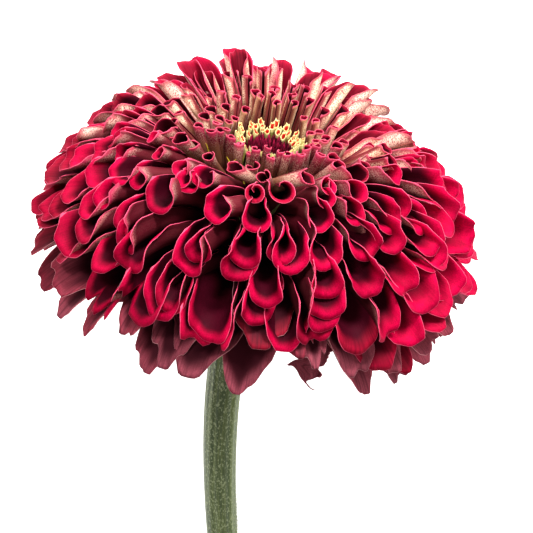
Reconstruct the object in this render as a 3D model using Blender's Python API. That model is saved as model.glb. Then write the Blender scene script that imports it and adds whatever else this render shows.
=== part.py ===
"""Cut double zinnia, lying on a flat surface.

World frame: metres, +Z up, surface at z = 0, stem running towards -Y.
Head frame (parent empty "head"): +Z along the flower axis, -Y towards the side
of the bloom that faces up, origin at the centre of the widest circle.
A floret is placed by its azimuth about the axis (0 = the side that faces up,
positive to the +X side) and by its row, which says where on the cone it grows
and where on the dome its tip ends.
"""
import math

import bmesh
import bpy
import numpy as np
from mathutils import Matrix, Vector

MM = 0.001

# ---------------------------------------------------------------- dimensions
BLOOM_RADIUS = 50.0          # widest circle of petal tips, mm
STEM_LENGTH = 131.0          # below the receptacle, along the curve, mm
STEM_TOP_RADIUS = 4.5
STEM_END_RADIUS = 3.15
STEM_RIBS = 6                # shallow ribs along the stem
STEM_RIB_DEPTH = 0.14
PETAL_THICKNESS = 0.5
GAP = 0.32                   # clearance between separate pieces

HEAD_CENTRE = (-1.14, 49.59, 45.63)      # world place of the head frame's origin, mm
HEAD_RISE = 16.3             # flower axis above the surface, degrees
HEAD_YAW = 9.9               # flower axis turned from +Y towards +X, degrees
HEAD_TURN = -2.3             # turn of the head about its own axis, degrees

# dome that the petal tips reach: station along it -> radius, height
DOME_STATION = [0.0, 0.1, 0.2, 0.3, 0.4, 0.5, 0.6, 0.7, 0.8, 0.9, 1.0, 1.1]
DOME_RADIUS = [8.6, 11.8, 17.6, 25.0, 32.0, 38.5, 44.0, 48.0, BLOOM_RADIUS, 49.0, 45.0, 39.0]
DOME_HEIGHT = [26.6, 28.2, 29.6, 29.0, 26.5, 22.5, 16.5, 9.0, 0.5, -8.5, -16.0, -21.0]

# petal at its tip: slope of its direction and full width, by dome station
TIP_SLOPE = ([0.0, 0.07, 0.13, 0.2, 0.3, 0.4, 0.5, 0.6, 0.7, 0.8, 0.9, 1.0],
             [96.0, 94.0, 88.0, 74.0, 50.0, 24.0, 2.0, -14.0, -28.0, -41.0, -53.0, -62.0])
TIP_WIDTH = ([0.0, 0.2, 0.3, 0.4, 0.5, 0.6, 0.7, 0.8, 0.9, 1.0],
             [1.8, 2.7, 4.2, 6.0, 7.6, 9.0, 10.0, 10.4, 10.2, 9.6])
# slope at which a floret leaves the receptacle, by dome station
LEAVE = ([0.05, 0.13, 0.20, 0.30, 0.6, 0.95], [30.0, 34.0, 42.0, 50.0, 34.0, 12.0])

# receptacle: solid cone that every floret and bract grows from (radius, height)
CONE = [(0.0, 20.0), (2.5, 19.8), (4.6, 19.2), (6.0, 18.0), (6.4, 16.6), (6.2, 13.0), (6.3, 6.0),
        (6.9, 0.0), (7.8, -6.0), (7.6, -9.5), (6.0, -12.6), (4.5, -14.2), (0.0, -14.2)]

# rows of florets, from the eye outwards: name, dome station, azimuths of the
# florets on the upper side in degrees; the rest of the row is filled evenly
# at the given spacing
ROWS = [
    ("quill_whorl_01", 0.06, 20.0, (-118, -99, -80, -61, -41, -20, 1, 19, 38, 57, 78, 98, 118)),
    ("quill_whorl_02", 0.12, 17.5, (-120, -105, -91, -75, -58, -44, -29, -12, 5, 22, 36, 51, 66, 82, 97, 113)),
    ("quill_whorl_03", 0.20, 20.0, (-112, -92, -72, -52, 44, 61, 80, 99, 119)),
    ("quill_whorl_04", 0.28, 19.0, (-115, -98, -81, -62, -47, -31, -16, 0, 48, 66, 82, 98, 119)),
    ("quill_whorl_05", 0.33, 18.5, (-121, -104, -82, -64, -41, -8, 23, 41, 58, 74, 91, 109)),
    ("spoon_whorl_06", 0.375, 20.0, (-113, -95, -77, -58, -35, -22, 11, 30, 49, 66, 82, 99, 117)),
    ("spoon_whorl_07", 0.42, 20.0, (-104, -80, -63, -47, -29, -1, 25, 39, 56, 72, 89, 107, 124)),
    ("spoon_whorl_08", 0.47, 20.0, (-112, -97, -83, -69, -57, -40, -24, 22, 48, 63, 80, 97, 114)),
    ("spoon_whorl_09", 0.525, 20.0, (-113, -97, -83, -66, -49, -31, -12, 2, 33, 49, 66, 84, 102)),
    ("broad_whorl_10", 0.58, 20.0, (-105, -86, -71, -58, -45, -29, -13, -1, 10, 22, 38, 58, 76, 94, 111)),
    ("broad_whorl_11", 0.635, 20.0, (-95, -79, -65, -51, -36, -13, -2, 11, 23, 47, 62, 85, 102)),
    ("broad_whorl_12", 0.69, 20.0, (-101, -84, -69, -55, -43, -30, 7, 21, 35, 48, 66, 85, 107)),
    ("broad_whorl_13", 0.745, 20.0, (-92, -71, -59, -47, -32, -17, 5, 20, 36, 53, 64, 76, 94)),
    ("broad_whorl_14", 0.80, 20.0, (-99, -83, -66, -51, -36, -19, -5, 11, 24, 41, 53, 67, 85, 103)),
]
GUARD_ROWS = [
    ("guard_petal", 0.87, 23.0, (-93, -76, -60, -44, -27, -5, 9, 21, 34, 46, 60, 74, 88, 102)),
    ("drooping_petal", 0.95, 24.0, (-85, -68, -54, -41, -22, -10, 4, 24, 41, 53, 68, 84, 99)),
]
FIRST_SEAT, LAST_SEAT = 16.2, -5.4    # heights on the cone of first and last row

# bract rows of the involucre: name, seat height, tip (radius, height), count
BRACTS = [
    ("bracts_upper", -7.9, (14.2, -7.9), 12),
    ("bracts_middle", -9.9, (12.6, -9.9), 11),
    ("bracts_lower", -11.8, (10.6, -12.3), 10),
]

CRIMSON = (0.22, 0.004, 0.035)
DUSTY = (0.27, 0.07, 0.08)
CREAM = (0.52, 0.33, 0.20)
MAROON = (0.10, 0.012, 0.035)
YELLOW = (0.55, 0.42, 0.04)
GREEN = (0.11, 0.14, 0.055)


# ------------------------------------------------------------------ helpers
def material(name, colour, roughness):
    mat = bpy.data.materials.new(name)
    mat.use_nodes = True
    shader = mat.node_tree.nodes["Principled BSDF"]
    shader.inputs["Base Color"].default_value = (*colour, 1.0)
    shader.inputs["Roughness"].default_value = roughness
    shader.inputs["Metallic"].default_value = 0.0
    mat.diffuse_color = (*colour, 1.0)
    return mat


def smoothstep(x):
    x = min(1.0, max(0.0, x))
    return x * x * (3.0 - 2.0 * x)


def unevenness(row, i, salt=0):
    """Fixed scatter between -1 and 1 for floret i of a row."""
    return 2.0 * ((math.sin(row * 12.9898 + i * 78.233 + salt * 37.719) * 43758.5453) % 1.0) - 1.0


def axis_matrix():
    rise, yaw = math.radians(HEAD_RISE), math.radians(HEAD_YAW)
    axis = Vector((math.cos(rise) * math.sin(yaw), math.cos(rise) * math.cos(yaw), math.sin(rise)))
    up = (Vector((0, 0, 1)) - axis * axis.z).normalized()
    side = axis.cross(up)
    turn = math.radians(HEAD_TURN)
    front = up * math.cos(turn) + side * math.sin(turn)
    side = axis.cross(front)
    m = Matrix((side, -front, axis)).transposed().to_4x4()
    m.translation = Vector(HEAD_CENTRE)
    return m


HEAD = axis_matrix()                  # millimetres
HEAD_BACK = HEAD.inverted()
RIM_SAG = 18.0                        # half-width of the patch lying flat, mm


def settle(p):
    """Bends the underside of the bloom on to the surface. Keeps the order of
    heights, so pieces that were apart stay apart."""
    w = HEAD @ Vector(p)
    dx = w.x - LOW_X
    drop = BLOOM_RADIUS - math.sqrt(max(0.0, BLOOM_RADIUS ** 2 - min(abs(dx), 24.0) ** 2))
    near = 1.0 - smoothstep(w.z / 20.0)
    z = w.z - drop * near * 0.9
    # the lowest tips are pressed to two fifths of their free depth
    press, soft = 2.45, 1.6
    squeeze = 0.4
    t = (z - press) / soft
    # integral of a slope that goes from squeeze to 1
    free = soft * (math.log1p(math.exp(min(40.0, t))) if t < 40 else t)
    z = press + squeeze * (z - press) + (1.0 - squeeze) * free
    w.z = z
    return HEAD_BACK @ w


LOW_X = HEAD_CENTRE[0] + 1.0           # where the rim first meets the surface


def cone_radius(z):
    pts = [(h, r) for r, h in CONE[1:-1]]
    pts.sort()
    return float(np.interp(z, [p[0] for p in pts], [p[1] for p in pts]))


def lift(azimuth, station):
    """The dome stands higher on its far side and wider on its +X side."""
    far = smoothstep((-math.cos(azimuth) - 0.55) / 0.4) * (1.0 - smoothstep((station - 0.38) / 0.25))
    wide = max(0.0, math.sin(azimuth)) ** 2 * smoothstep((station - 0.45) / 0.2) * (1.0 - smoothstep((station - 0.78) / 0.12))
    return 1.0 + 0.13 * far + 0.05 * wide


def profile(seat, station, azimuth, u):
    """Point (radius, height) and direction of a floret's midline at u."""
    r0, z0 = cone_radius(seat) + GAP + 0.9, seat
    m = lift(azimuth, station)
    r3 = m * float(np.interp(station, DOME_STATION, DOME_RADIUS))
    z3 = m * float(np.interp(station, DOME_STATION, DOME_HEIGHT))
    reach = math.hypot(r3 - r0, z3 - z0)
    leave = math.radians(float(np.interp(station, *LEAVE)))
    slope = math.radians(float(np.interp(station, *TIP_SLOPE)))
    a, b = 0.36 * reach, 0.34 * reach
    pts = [(r0, z0), (r0 + a * math.cos(leave), z0 + a * math.sin(leave)),
           (r3 - b * math.cos(slope), z3 - b * math.sin(slope)), (r3, z3)]
    v = 1.0 - u
    k = (v ** 3, 3 * v * v * u, 3 * v * u * u, u ** 3)
    d = (3 * v * v, 6 * v * u, 3 * u * u)
    r, z = (sum(k[i] * pts[i][j] for i in range(4)) for j in (0, 1))
    dr, dz = (sum(d[i] * (pts[i + 1][j] - pts[i][j]) for i in range(3)) for j in (0, 1))
    n = math.hypot(dr, dz) or 1.0
    return r, z, dr / n, dz / n


def place(azimuth, r, z, across=0.0, along_normal=0.0, dr=0.0, dz=0.0):
    """Head-frame point at azimuth and (r, z), moved sideways and off the face."""
    r += along_normal * -dz
    z += along_normal * dr
    c, s = math.cos(azimuth), math.sin(azimuth)
    return (r * s + across * c, -(r * c) + across * s, z)


def blade_sections(seat, station, azimuth, base_width, stations_u, room):
    """Closed six-sided sections of a blade: left, middle, right on top, then
    right, middle, left underneath."""
    wide = min(float(np.interp(station, *TIP_WIDTH)), room)
    cup = float(np.interp(station, [0.05, 0.3, 0.5, 0.8, 0.95], [0.26, 0.17, 0.13, 0.09, -0.05]))
    out = []
    for u, share, tip in stations_u:
        w = base_width + (wide - base_width) * share
        rows = []
        for side in (-1, 0, 1):
            uu = u - (tip if side else 0.0)
            r, z, dr, dz = profile(seat, station, azimuth, uu)
            rise = cup * w * share * (1.0 if side else -0.35)
            rows.append((side * w / 2, rise, r, z, dr, dz))
        h = PETAL_THICKNESS / 2
        top = [place(azimuth, r, z, x, y + h, dr, dz) for x, y, r, z, dr, dz in rows]
        low = [place(azimuth, r, z, x, y - h, dr, dz) for x, y, r, z, dr, dz in reversed(rows)]
        out.append(top + low)
    return out


def add_object(name, verts, faces, mat, parent, smooth=True):
    mesh = bpy.data.meshes.new(name)
    mesh.from_pydata([tuple(c * MM for c in v) for v in verts], [], faces)
    mesh.materials.append(mat)
    bm = bmesh.new()
    bm.from_mesh(mesh)
    bmesh.ops.recalc_face_normals(bm, faces=bm.faces)
    bm.to_mesh(mesh)
    bm.free()
    obj = bpy.data.objects.new(name, mesh)
    bpy.context.scene.collection.objects.link(obj)
    obj.parent = parent
    if smooth:
        mesh.shade_smooth()
        mesh.set_sharp_from_angle(angle=math.radians(40))
    return obj


def skin(loops, closed_start=True):
    """Faces round a run of six-point sections, capped at the ends."""
    verts, faces = [], []
    for loop in loops:
        verts += loop
    for k in range(len(loops) - 1):
        a, b = 6 * k, 6 * (k + 1)
        for j in range(6):
            jj = (j + 1) % 6
            faces.append((a + j, a + jj, b + jj, b + j))
    def cap(o, flip):
        quads = [(o + 0, o + 1, o + 4, o + 5), (o + 1, o + 2, o + 3, o + 4)]
        return [tuple(reversed(q)) for q in quads] if flip else quads
    if closed_start:
        faces += cap(0, True)
    faces += cap(6 * (len(loops) - 1), False)
    return verts, faces


def full_ring(upper, spacing):
    """Azimuths all round: the given ones, then even steps over the far side."""
    start, end = upper[-1], upper[0] + 360
    n = max(1, round((end - start) / spacing))
    return list(upper) + [start + (end - start) * k / n for k in range(1, n)]


def neighbours_room(ring, i, station):
    """Width free for petal i between its neighbours."""
    ordered = sorted(a % 360 for a in ring)
    a = ring[i] % 360
    k = ordered.index(a)
    left = (a - ordered[k - 1]) % 360
    right = (ordered[(k + 1) % len(ordered)] - a) % 360
    r = float(np.interp(station, DOME_STATION, DOME_RADIUS))
    return math.radians(min(left, right)) * r * 0.90 - GAP


# shape of a blade: (distance along it, share of its full width, how far the
# side points stand back from the middle one)
QUILL = [(0.45, 0.55, 0.0), (1.0, 1.0, 0.0)]
BROAD = [(0.32, 0.42, 0.0), (0.76, 0.97, 0.01), (1.0, 0.55, 0.07)]
GUARD = [(0.0, 0.0, 0.0), (0.30, 0.36, 0.0), (0.74, 0.96, 0.01), (1.0, 0.50, 0.07)]


def build_whorl(name, row, seat, station, ring, mat, parent, sections, band=0.8, depth=0.9):
    """One row of florets joined by the band of ovaries that packs them on the
    cone. Every floret grows out of two faces of the band."""
    ring = sorted(ring)
    n = len(ring)
    inner = cone_radius(seat) + GAP
    outer = inner + depth
    verts, faces = [], []
    columns, spots = [], []                             # spots: a floret's own column
    for i in range(n):
        a0, a1 = ring[i - 1] - (360 if i == 0 else 0), ring[i]
        between = 1 if a1 - a0 < 40 else 3              # more where the row has a wide gap
        columns += [math.radians(a0 + (a1 - a0) * q / (between + 1)) for q in range(1, between + 1)]
        spots.append(len(columns))
        columns.append(math.radians(a1))
    m = len(columns)
    taken = {(k + step) % m for k in spots for step in (-1, 0)}
    for a in columns:                                   # three points a column
        for r, z in ((inner, seat), (outer, seat + band / 2), (outer, seat - band / 2)):
            verts.append(place(a, r, z))
    def at(k, j):
        return 3 * (k % m) + j
    for k in range(m):
        faces.append((at(k, 0), at(k, 1), at(k + 1, 1), at(k + 1, 0)))
        faces.append((at(k, 2), at(k, 0), at(k + 1, 0), at(k + 1, 2)))
        if k not in taken:
            faces.append((at(k, 1), at(k, 2), at(k + 1, 2), at(k + 1, 1)))
    for i in range(n):
        az = math.radians(ring[i])
        k = spots[i]
        base = [at(k - 1, 1), at(k, 1), at(k + 1, 1), at(k + 1, 2), at(k, 2), at(k - 1, 2)]
        room = neighbours_room(ring, i, station)
        s = station + 0.008 * unevenness(row, i)
        gap_l = math.radians(ring[i] - ring[i - 1] + (360 if i == 0 else 0))
        gap_r = math.radians(ring[(i + 1) % n] - ring[i] + (360 if i == n - 1 else 0))
        base_width = 0.55 * outer * min(gap_l, gap_r)
        loops = blade_sections(seat, s, az, base_width, sections, room)
        start = len(verts)
        v, f = skin(loops, closed_start=False)
        verts += v
        faces += [tuple(start + q for q in face) for face in f]
        for j in range(6):
            jj = (j + 1) % 6
            faces.append((base[j], base[jj], start + jj, start + j))
    verts = [settle(v) for v in verts]
    return add_object(name, verts, faces, mat, parent)


def build_petal(name, row, i, seat, station, azimuth, room, mat, parent):
    r0 = cone_radius(seat) + GAP + 0.15
    s = station + 0.012 * unevenness(row, i)
    loops = blade_sections(seat, s, azimuth, 1.7, GUARD, room)
    verts, faces = skin(loops)
    return add_object(name, [settle(v) for v in verts], faces, mat, parent)


def turned(name, outline, steps, mat, parent, wave=None):
    """Solid of revolution about the head axis, closed on the axis."""
    verts, faces = [], []
    top, body, low = outline[0], outline[1:-1], outline[-1]
    verts.append((0, 0, top[1]))
    for r, z in body:
        for k in range(steps):
            a = 2 * math.pi * k / steps
            rr, zz = wave(k, r, z) if wave else (r, z)
            verts.append((rr * math.sin(a), -rr * math.cos(a), zz))
    verts.append((0, 0, low[1]))
    last = len(verts) - 1
    for k in range(steps):
        kk = (k + 1) % steps
        faces.append((0, 1 + k, 1 + kk))
        for j in range(len(body) - 1):
            a, b = 1 + j * steps, 1 + (j + 1) * steps
            faces.append((a + k, b + k, b + kk, a + kk))
        e = 1 + (len(body) - 1) * steps
        faces.append((e + k, last, e + kk))
    return add_object(name, verts, faces, mat, parent)


def stem_route():
    """Midline of the stem in world millimetres: it leaves the receptacle along
    the head axis, bends into the -Y direction and comes down to the surface."""
    axis = (HEAD.to_3x3() @ Vector((0, 0, 1))).normalized()
    start = HEAD @ Vector((0, 0, CONE[-1][1] - GAP))
    end = Vector((start.x - 2.3, start.y - STEM_LENGTH * 0.957, STEM_END_RADIUS - 0.20))
    p1 = start - axis * 42.0 + Vector((-3.2, 0.0, 0.0))
    p2 = end + Vector((-0.6, 44.0, 8.5))
    pts = []
    n = 15
    for k in range(n + 1):
        t = k / n
        v = 1 - t
        pts.append(start * v ** 3 + p1 * 3 * v * v * t + p2 * 3 * v * t * t + end * t ** 3)
    return pts


def build_stem(mat, parent):
    pts = stem_route()
    sides = 2 * STEM_RIBS
    verts, faces = [], []
    n = len(pts)
    for k, p in enumerate(pts):
        d = (pts[min(k + 1, n - 1)] - pts[max(k - 1, 0)]).normalized()
        x = d.cross(Vector((0, 0, 1))).normalized()
        y = x.cross(d).normalized()
        t = k / (n - 1)
        radius = STEM_TOP_RADIUS + (STEM_END_RADIUS - STEM_TOP_RADIUS) * t
        for j in range(sides):
            a = 2 * math.pi * j / sides
            r = radius - (STEM_RIB_DEPTH if j % 2 else 0.0)
            verts.append(HEAD_BACK @ (p + x * r * math.cos(a) + y * r * math.sin(a)))
    for k in range(n - 1):
        for j in range(sides):
            jj = (j + 1) % sides
            a, b = k * sides, (k + 1) * sides
            faces.append((a + j, a + jj, b + jj, b + j))
    faces.append(tuple(reversed(range(sides))))
    faces.append(tuple(range((n - 1) * sides, n * sides)))
    return add_object("stem", verts, faces, mat, parent)


def clear_scene():
    for obj in list(bpy.data.objects):
        bpy.data.objects.remove(obj, do_unlink=True)


def main():
    clear_scene()
    head = bpy.data.objects.new("head", None)
    head.empty_display_size = 0.02
    bpy.context.scene.collection.objects.link(head)
    m = HEAD.copy()
    m.translation = m.translation * MM
    head.matrix_world = m

    quill = material("quill_petal", CREAM, 0.55)
    spoon = material("spoon_petal", CRIMSON, 0.5)
    broad = material("broad_petal", CRIMSON, 0.5)
    guard = material("guard_petal", DUSTY, 0.6)
    eye = material("disc_floret", YELLOW, 0.55)
    bristle = material("palea", MAROON, 0.6)
    green = material("stem_green", GREEN, 0.6)
    bract = material("bract_green", (0.09, 0.11, 0.04), 0.6)
    pith = material("receptacle_pith", (0.35, 0.36, 0.15), 0.7)

    rows = ROWS + GUARD_ROWS
    seats = np.linspace(FIRST_SEAT, LAST_SEAT, len(rows))
    for k, (name, station, spacing, upper) in enumerate(ROWS):
        ring = full_ring(upper, spacing)
        sections = QUILL if station < 0.35 else BROAD
        mat = quill if name.startswith("quill") else (spoon if name.startswith("spoon") else broad)
        build_whorl(name, k, float(seats[k]), station, ring, mat, head, sections)
    for k, (name, station, spacing, upper) in enumerate(GUARD_ROWS):
        ring = full_ring(upper, spacing)
        row = len(ROWS) + k
        for i, az in enumerate(ring):
            room = neighbours_room(ring, i, station)
            build_petal(f"{name}_{i + 1:02d}", row, i, float(seats[row]), station,
                        math.radians(az), room, guard, head)
    for name, seat, tip, count in BRACTS:
        build_bracts(name, seat, tip, count, bract, head)

    turned("receptacle", CONE, 20, pith, head)

    # eye: a low ring of disc florets round a tuft of dark paleae
    def floret_wave(k, r, z):
        return (r, z + (0.8 if k % 2 and z > 22.0 else 0.0))
    disc = [(0.0, 20.9), (4.9, 20.8), (5.5, 24.6), (6.9, 25.4), (7.4, 23.2), (6.2, 20.4), (0.0, 20.35)]
    turned("disc_florets", disc, 20, eye, head, floret_wave)

    def palea_wave(k, r, z):
        return (r, z + (0.9 if k % 2 and z > 24.0 else 0.0))
    tuft = [(0.0, 24.3), (1.6, 24.6), (3.6, 24.8), (4.4, 23.6), (4.4, 22.0), (4.0, 21.3), (0.0, 21.25)]
    turned("paleae_tuft", tuft, 14, bristle, head, palea_wave)

    build_stem(green, head)


def build_bracts(name, seat, tip, count, mat, parent):
    """A row of blunt overlapping scales, joined where they grow on the cup."""
    inner = cone_radius(seat) + GAP
    outer = inner + 0.7
    verts, faces = [], []
    m = 2 * count
    cols = [2 * math.pi * k / m for k in range(m)]
    for a in cols:
        for r, z in ((inner, seat), (outer, seat + 0.45), (outer, seat - 0.45)):
            verts.append(place(a, r, z))
    def at(k, j):
        return 3 * (k % m) + j
    for k in range(m):
        faces.append((at(k, 0), at(k, 1), at(k + 1, 1), at(k + 1, 0)))
        faces.append((at(k, 2), at(k, 0), at(k + 1, 0), at(k + 1, 2)))
    tr, tz = tip
    for i in range(count):
        k = 2 * i
        az = cols[(k + 1) % m]
        base = [at(k, 1), at(k + 1, 1), at(k + 2, 1), at(k + 2, 2), at(k + 1, 2), at(k, 2)]
        loops = []
        for t, share, back in ((0.6, 1.0, 0.0), (1.0, 0.55, 0.10)):
            loop_top, loop_low = [], []
            for side in (-1, 0, 1):
                tt = t - (back if side else 0)
                r = outer + (tr - outer) * tt
                z = seat + (tz - seat) * tt + 0.5 * math.sin(math.pi * tt)
                half = 0.5 * share * 0.80 * (2 * math.pi / count) * r
                loop_top.append(place(az, r, z + 0.22, side * half))
                loop_low.append(place(az, r, z - 0.22, side * half))
            loops.append(loop_top + loop_low[::-1])
        start = len(verts)
        v, f = skin(loops, closed_start=False)
        verts += v
        faces += [tuple(start + q for q in face) for face in f]
        for j in range(6):
            jj = (j + 1) % 6
            faces.append((base[j], base[jj], start + jj, start + j))
    return add_object(name, verts, faces, mat, parent)


main()
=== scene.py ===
import math

import bpy
import numpy as np
from mathutils import Matrix, Vector


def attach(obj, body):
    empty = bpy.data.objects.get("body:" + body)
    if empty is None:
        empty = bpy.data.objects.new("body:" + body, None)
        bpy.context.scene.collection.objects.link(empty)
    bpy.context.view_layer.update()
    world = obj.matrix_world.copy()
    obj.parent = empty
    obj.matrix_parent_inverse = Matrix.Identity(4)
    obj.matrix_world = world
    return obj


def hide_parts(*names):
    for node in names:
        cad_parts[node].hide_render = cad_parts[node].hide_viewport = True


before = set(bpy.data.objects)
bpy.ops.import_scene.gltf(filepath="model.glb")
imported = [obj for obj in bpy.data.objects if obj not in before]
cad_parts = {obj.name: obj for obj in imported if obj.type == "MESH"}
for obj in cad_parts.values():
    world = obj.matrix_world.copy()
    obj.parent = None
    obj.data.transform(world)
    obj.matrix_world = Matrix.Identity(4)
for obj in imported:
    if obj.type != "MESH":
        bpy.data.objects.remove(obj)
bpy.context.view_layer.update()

MM = 0.001

# --------------------------------------------------------------------------
# the flower's own measures, as in the solid model (millimetres, degrees)
# --------------------------------------------------------------------------
BLOOM_RADIUS = 50.0
STEM_LENGTH = 131.0
STEM_TOP_RADIUS = 4.5
STEM_END_RADIUS = 3.15
GAP = 0.32
HEAD_CENTRE = (-1.14, 49.59, 45.63)
HEAD_RISE = 16.3
HEAD_YAW = 9.9
HEAD_TURN = -2.3

DOME_STATION = [0.0, 0.1, 0.2, 0.3, 0.4, 0.5, 0.6, 0.7, 0.8, 0.9, 1.0, 1.1]
DOME_RADIUS = [8.6, 11.8, 17.6, 25.0, 32.0, 38.5, 44.0, 48.0, BLOOM_RADIUS, 49.0, 45.0, 39.0]
DOME_HEIGHT = [26.6, 28.2, 29.6, 29.0, 26.5, 22.5, 16.5, 9.0, 0.5, -8.5, -16.0, -21.0]
TIP_SLOPE = ([0.0, 0.07, 0.13, 0.2, 0.3, 0.4, 0.5, 0.6, 0.7, 0.8, 0.9, 1.0],
             [96.0, 94.0, 88.0, 74.0, 50.0, 24.0, 2.0, -14.0, -28.0, -41.0, -53.0, -62.0])
CONE = [(0.0, 20.0), (2.5, 19.8), (4.6, 19.2), (6.0, 18.0), (6.4, 16.6), (6.2, 13.0), (6.3, 6.0),
        (6.9, 0.0), (7.8, -6.0), (7.6, -9.5), (6.0, -12.6), (4.5, -14.2), (0.0, -14.2)]

ROWS = [
    ("quill_whorl_01", 0.06, 20.0, (-118, -99, -80, -61, -41, -20, 1, 19, 38, 57, 78, 98, 118)),
    ("quill_whorl_02", 0.12, 17.5, (-120, -105, -91, -75, -58, -44, -29, -12, 5, 22, 36, 51, 66, 82, 97, 113)),
    ("quill_whorl_03", 0.20, 20.0, (-112, -92, -72, -52, 44, 61, 80, 99, 119)),
    ("quill_whorl_04", 0.28, 19.0, (-115, -98, -81, -62, -47, -31, -16, 0, 48, 66, 82, 98, 119)),
    ("quill_whorl_05", 0.33, 18.5, (-121, -104, -82, -64, -41, -8, 23, 41, 58, 74, 91, 109)),
    ("spoon_whorl_06", 0.375, 20.0, (-113, -95, -77, -58, -35, -22, 11, 30, 49, 66, 82, 99, 117)),
    ("spoon_whorl_07", 0.42, 20.0, (-104, -80, -63, -47, -29, -1, 25, 39, 56, 72, 89, 107, 124)),
    ("spoon_whorl_08", 0.47, 20.0, (-112, -97, -83, -69, -57, -40, -24, 22, 48, 63, 80, 97, 114)),
    ("spoon_whorl_09", 0.525, 20.0, (-113, -97, -83, -66, -49, -31, -12, 2, 33, 49, 66, 84, 102)),
    ("broad_whorl_10", 0.58, 20.0, (-105, -86, -71, -58, -45, -29, -13, -1, 10, 22, 38, 58, 76, 94, 111)),
    ("broad_whorl_11", 0.635, 20.0, (-95, -79, -65, -51, -36, -13, -2, 11, 23, 47, 62, 85, 102)),
    ("broad_whorl_12", 0.69, 20.0, (-101, -84, -69, -55, -43, -30, 7, 21, 35, 48, 66, 85, 107)),
    ("broad_whorl_13", 0.745, 20.0, (-92, -71, -59, -47, -32, -17, 5, 20, 36, 53, 64, 76, 94)),
    ("broad_whorl_14", 0.80, 20.0, (-99, -83, -66, -51, -36, -19, -5, 11, 24, 41, 53, 67, 85, 103)),
]
GUARD_ROWS = [
    ("guard_petal", 0.87, 23.0, (-93, -76, -60, -44, -27, -5, 9, 21, 34, 46, 60, 74, 88, 102)),
    ("drooping_petal", 0.95, 24.0, (-85, -68, -54, -41, -22, -10, 4, 24, 41, 53, 68, 84, 99)),
]
FIRST_SEAT, LAST_SEAT = 16.2, -5.4
LEAVE = ([0.05, 0.13, 0.20, 0.30, 0.6, 0.95], [30.0, 34.0, 42.0, 50.0, 34.0, 12.0])

# looks of a floret by its station on the dome
ST = [0.07, 0.13, 0.20, 0.28, 0.33, 0.375, 0.42, 0.47, 0.525, 0.58, 0.635, 0.69, 0.745, 0.80, 0.87, 0.95]
FLAT_WIDTH = [4.9, 5.8, 6.4, 7.4, 8.6, 9.8, 11.0, 12.0, 13.0, 13.8, 14.2, 14.4, 14.4, 14.0, 12.8, 12.0]
ROLL_BASE = [176, 176, 175, 174, 172, 170, 166, 162, 158, 152, 146, 136, 124, 105, 70, 30]
ROLL_TIP = [174, 172, 170, 165, 155, 146, 138, 132, 127, 122, 116, 108, 98, 74, 34, 6]
KNEE = [1.0, 1.0, 1.0, .95, .86, .76, .70, .66, .64, .64, .65, .67, .70, .74, .8, .8]
REFLEX = [0, 0, 0, .10, .40, .70, .85, .90, .92, .90, .85, .75, .60, .45, .3, .2]
LIP_LENGTH = [.4, .5, .7, 1.0, 1.3, 1.6, 1.9, 2.2, 2.4, 2.6, 2.8, 2.9, 2.9, 2.6, 2.0, 1.5]
LIP_ANGLE = [20, 22, 24, 32, 40, 50, 58, 62, 64, 66, 66, 64, 60, 50, 30, 15]
ROUNDING = [.02, .02, .03, .04, .05, .06, .07, .08, .09, .10, .12, .14, .16, .19, .24, .28]


def smooth(x):
    x = np.clip(x, 0.0, 1.0)
    return x * x * (3.0 - 2.0 * x)


def unevenness(row, i, salt=0):
    return 2.0 * ((math.sin(row * 12.9898 + i * 78.233 + salt * 37.719) * 43758.5453) % 1.0) - 1.0


def axis_matrix():
    rise, yaw, turn = (math.radians(d) for d in (HEAD_RISE, HEAD_YAW, HEAD_TURN))
    axis = np.array((math.cos(rise) * math.sin(yaw), math.cos(rise) * math.cos(yaw), math.sin(rise)))
    up = np.array((0.0, 0.0, 1.0)) - axis * axis[2]
    up /= np.linalg.norm(up)
    side = np.cross(axis, up)
    front = up * math.cos(turn) + side * math.sin(turn)
    side = np.cross(axis, front)
    m = np.eye(4)
    m[:3, 0], m[:3, 1], m[:3, 2], m[:3, 3] = side, -front, axis, HEAD_CENTRE
    return m


HM = axis_matrix()
LOW_X = HEAD_CENTRE[0] + 1.0


def to_world(p):
    return p @ HM[:3, :3].T + HM[:3, 3]


def settle(w):
    """Bends world points (mm) of the underside on to the surface."""
    w = w.copy()
    dx = np.minimum(np.abs(w[:, 0] - LOW_X), 24.0)
    drop = BLOOM_RADIUS - np.sqrt(BLOOM_RADIUS ** 2 - dx ** 2)
    near = 1.0 - smooth(w[:, 2] / 20.0)
    z = w[:, 2] - drop * near * 0.9
    press, soft, squeeze = 2.45, 1.6, 0.4
    t = (z - press) / soft
    free = soft * np.where(t < 40, np.log1p(np.exp(np.minimum(t, 40.0))), t)
    w[:, 2] = np.maximum(press + squeeze * (z - press) + (1.0 - squeeze) * free, 0.02)
    return w


def cone_radius(z):
    pts = sorted((h, r) for r, h in CONE[1:-1])
    return float(np.interp(z, [p[0] for p in pts], [p[1] for p in pts]))


def lift(azimuth, station):
    far = float(smooth((-math.cos(azimuth) - 0.55) / 0.4)) * (1.0 - float(smooth((station - 0.38) / 0.25)))
    wide = max(0.0, math.sin(azimuth)) ** 2 * float(smooth((station - 0.45) / 0.2)) * (1.0 - float(smooth((station - 0.78) / 0.12)))
    return 1.0 + 0.13 * far + 0.05 * wide


def full_ring(upper, spacing):
    start, end = upper[-1], upper[0] + 360
    n = max(1, round((end - start) / spacing))
    return list(upper) + [start + (end - start) * k / n for k in range(1, n)]


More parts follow.
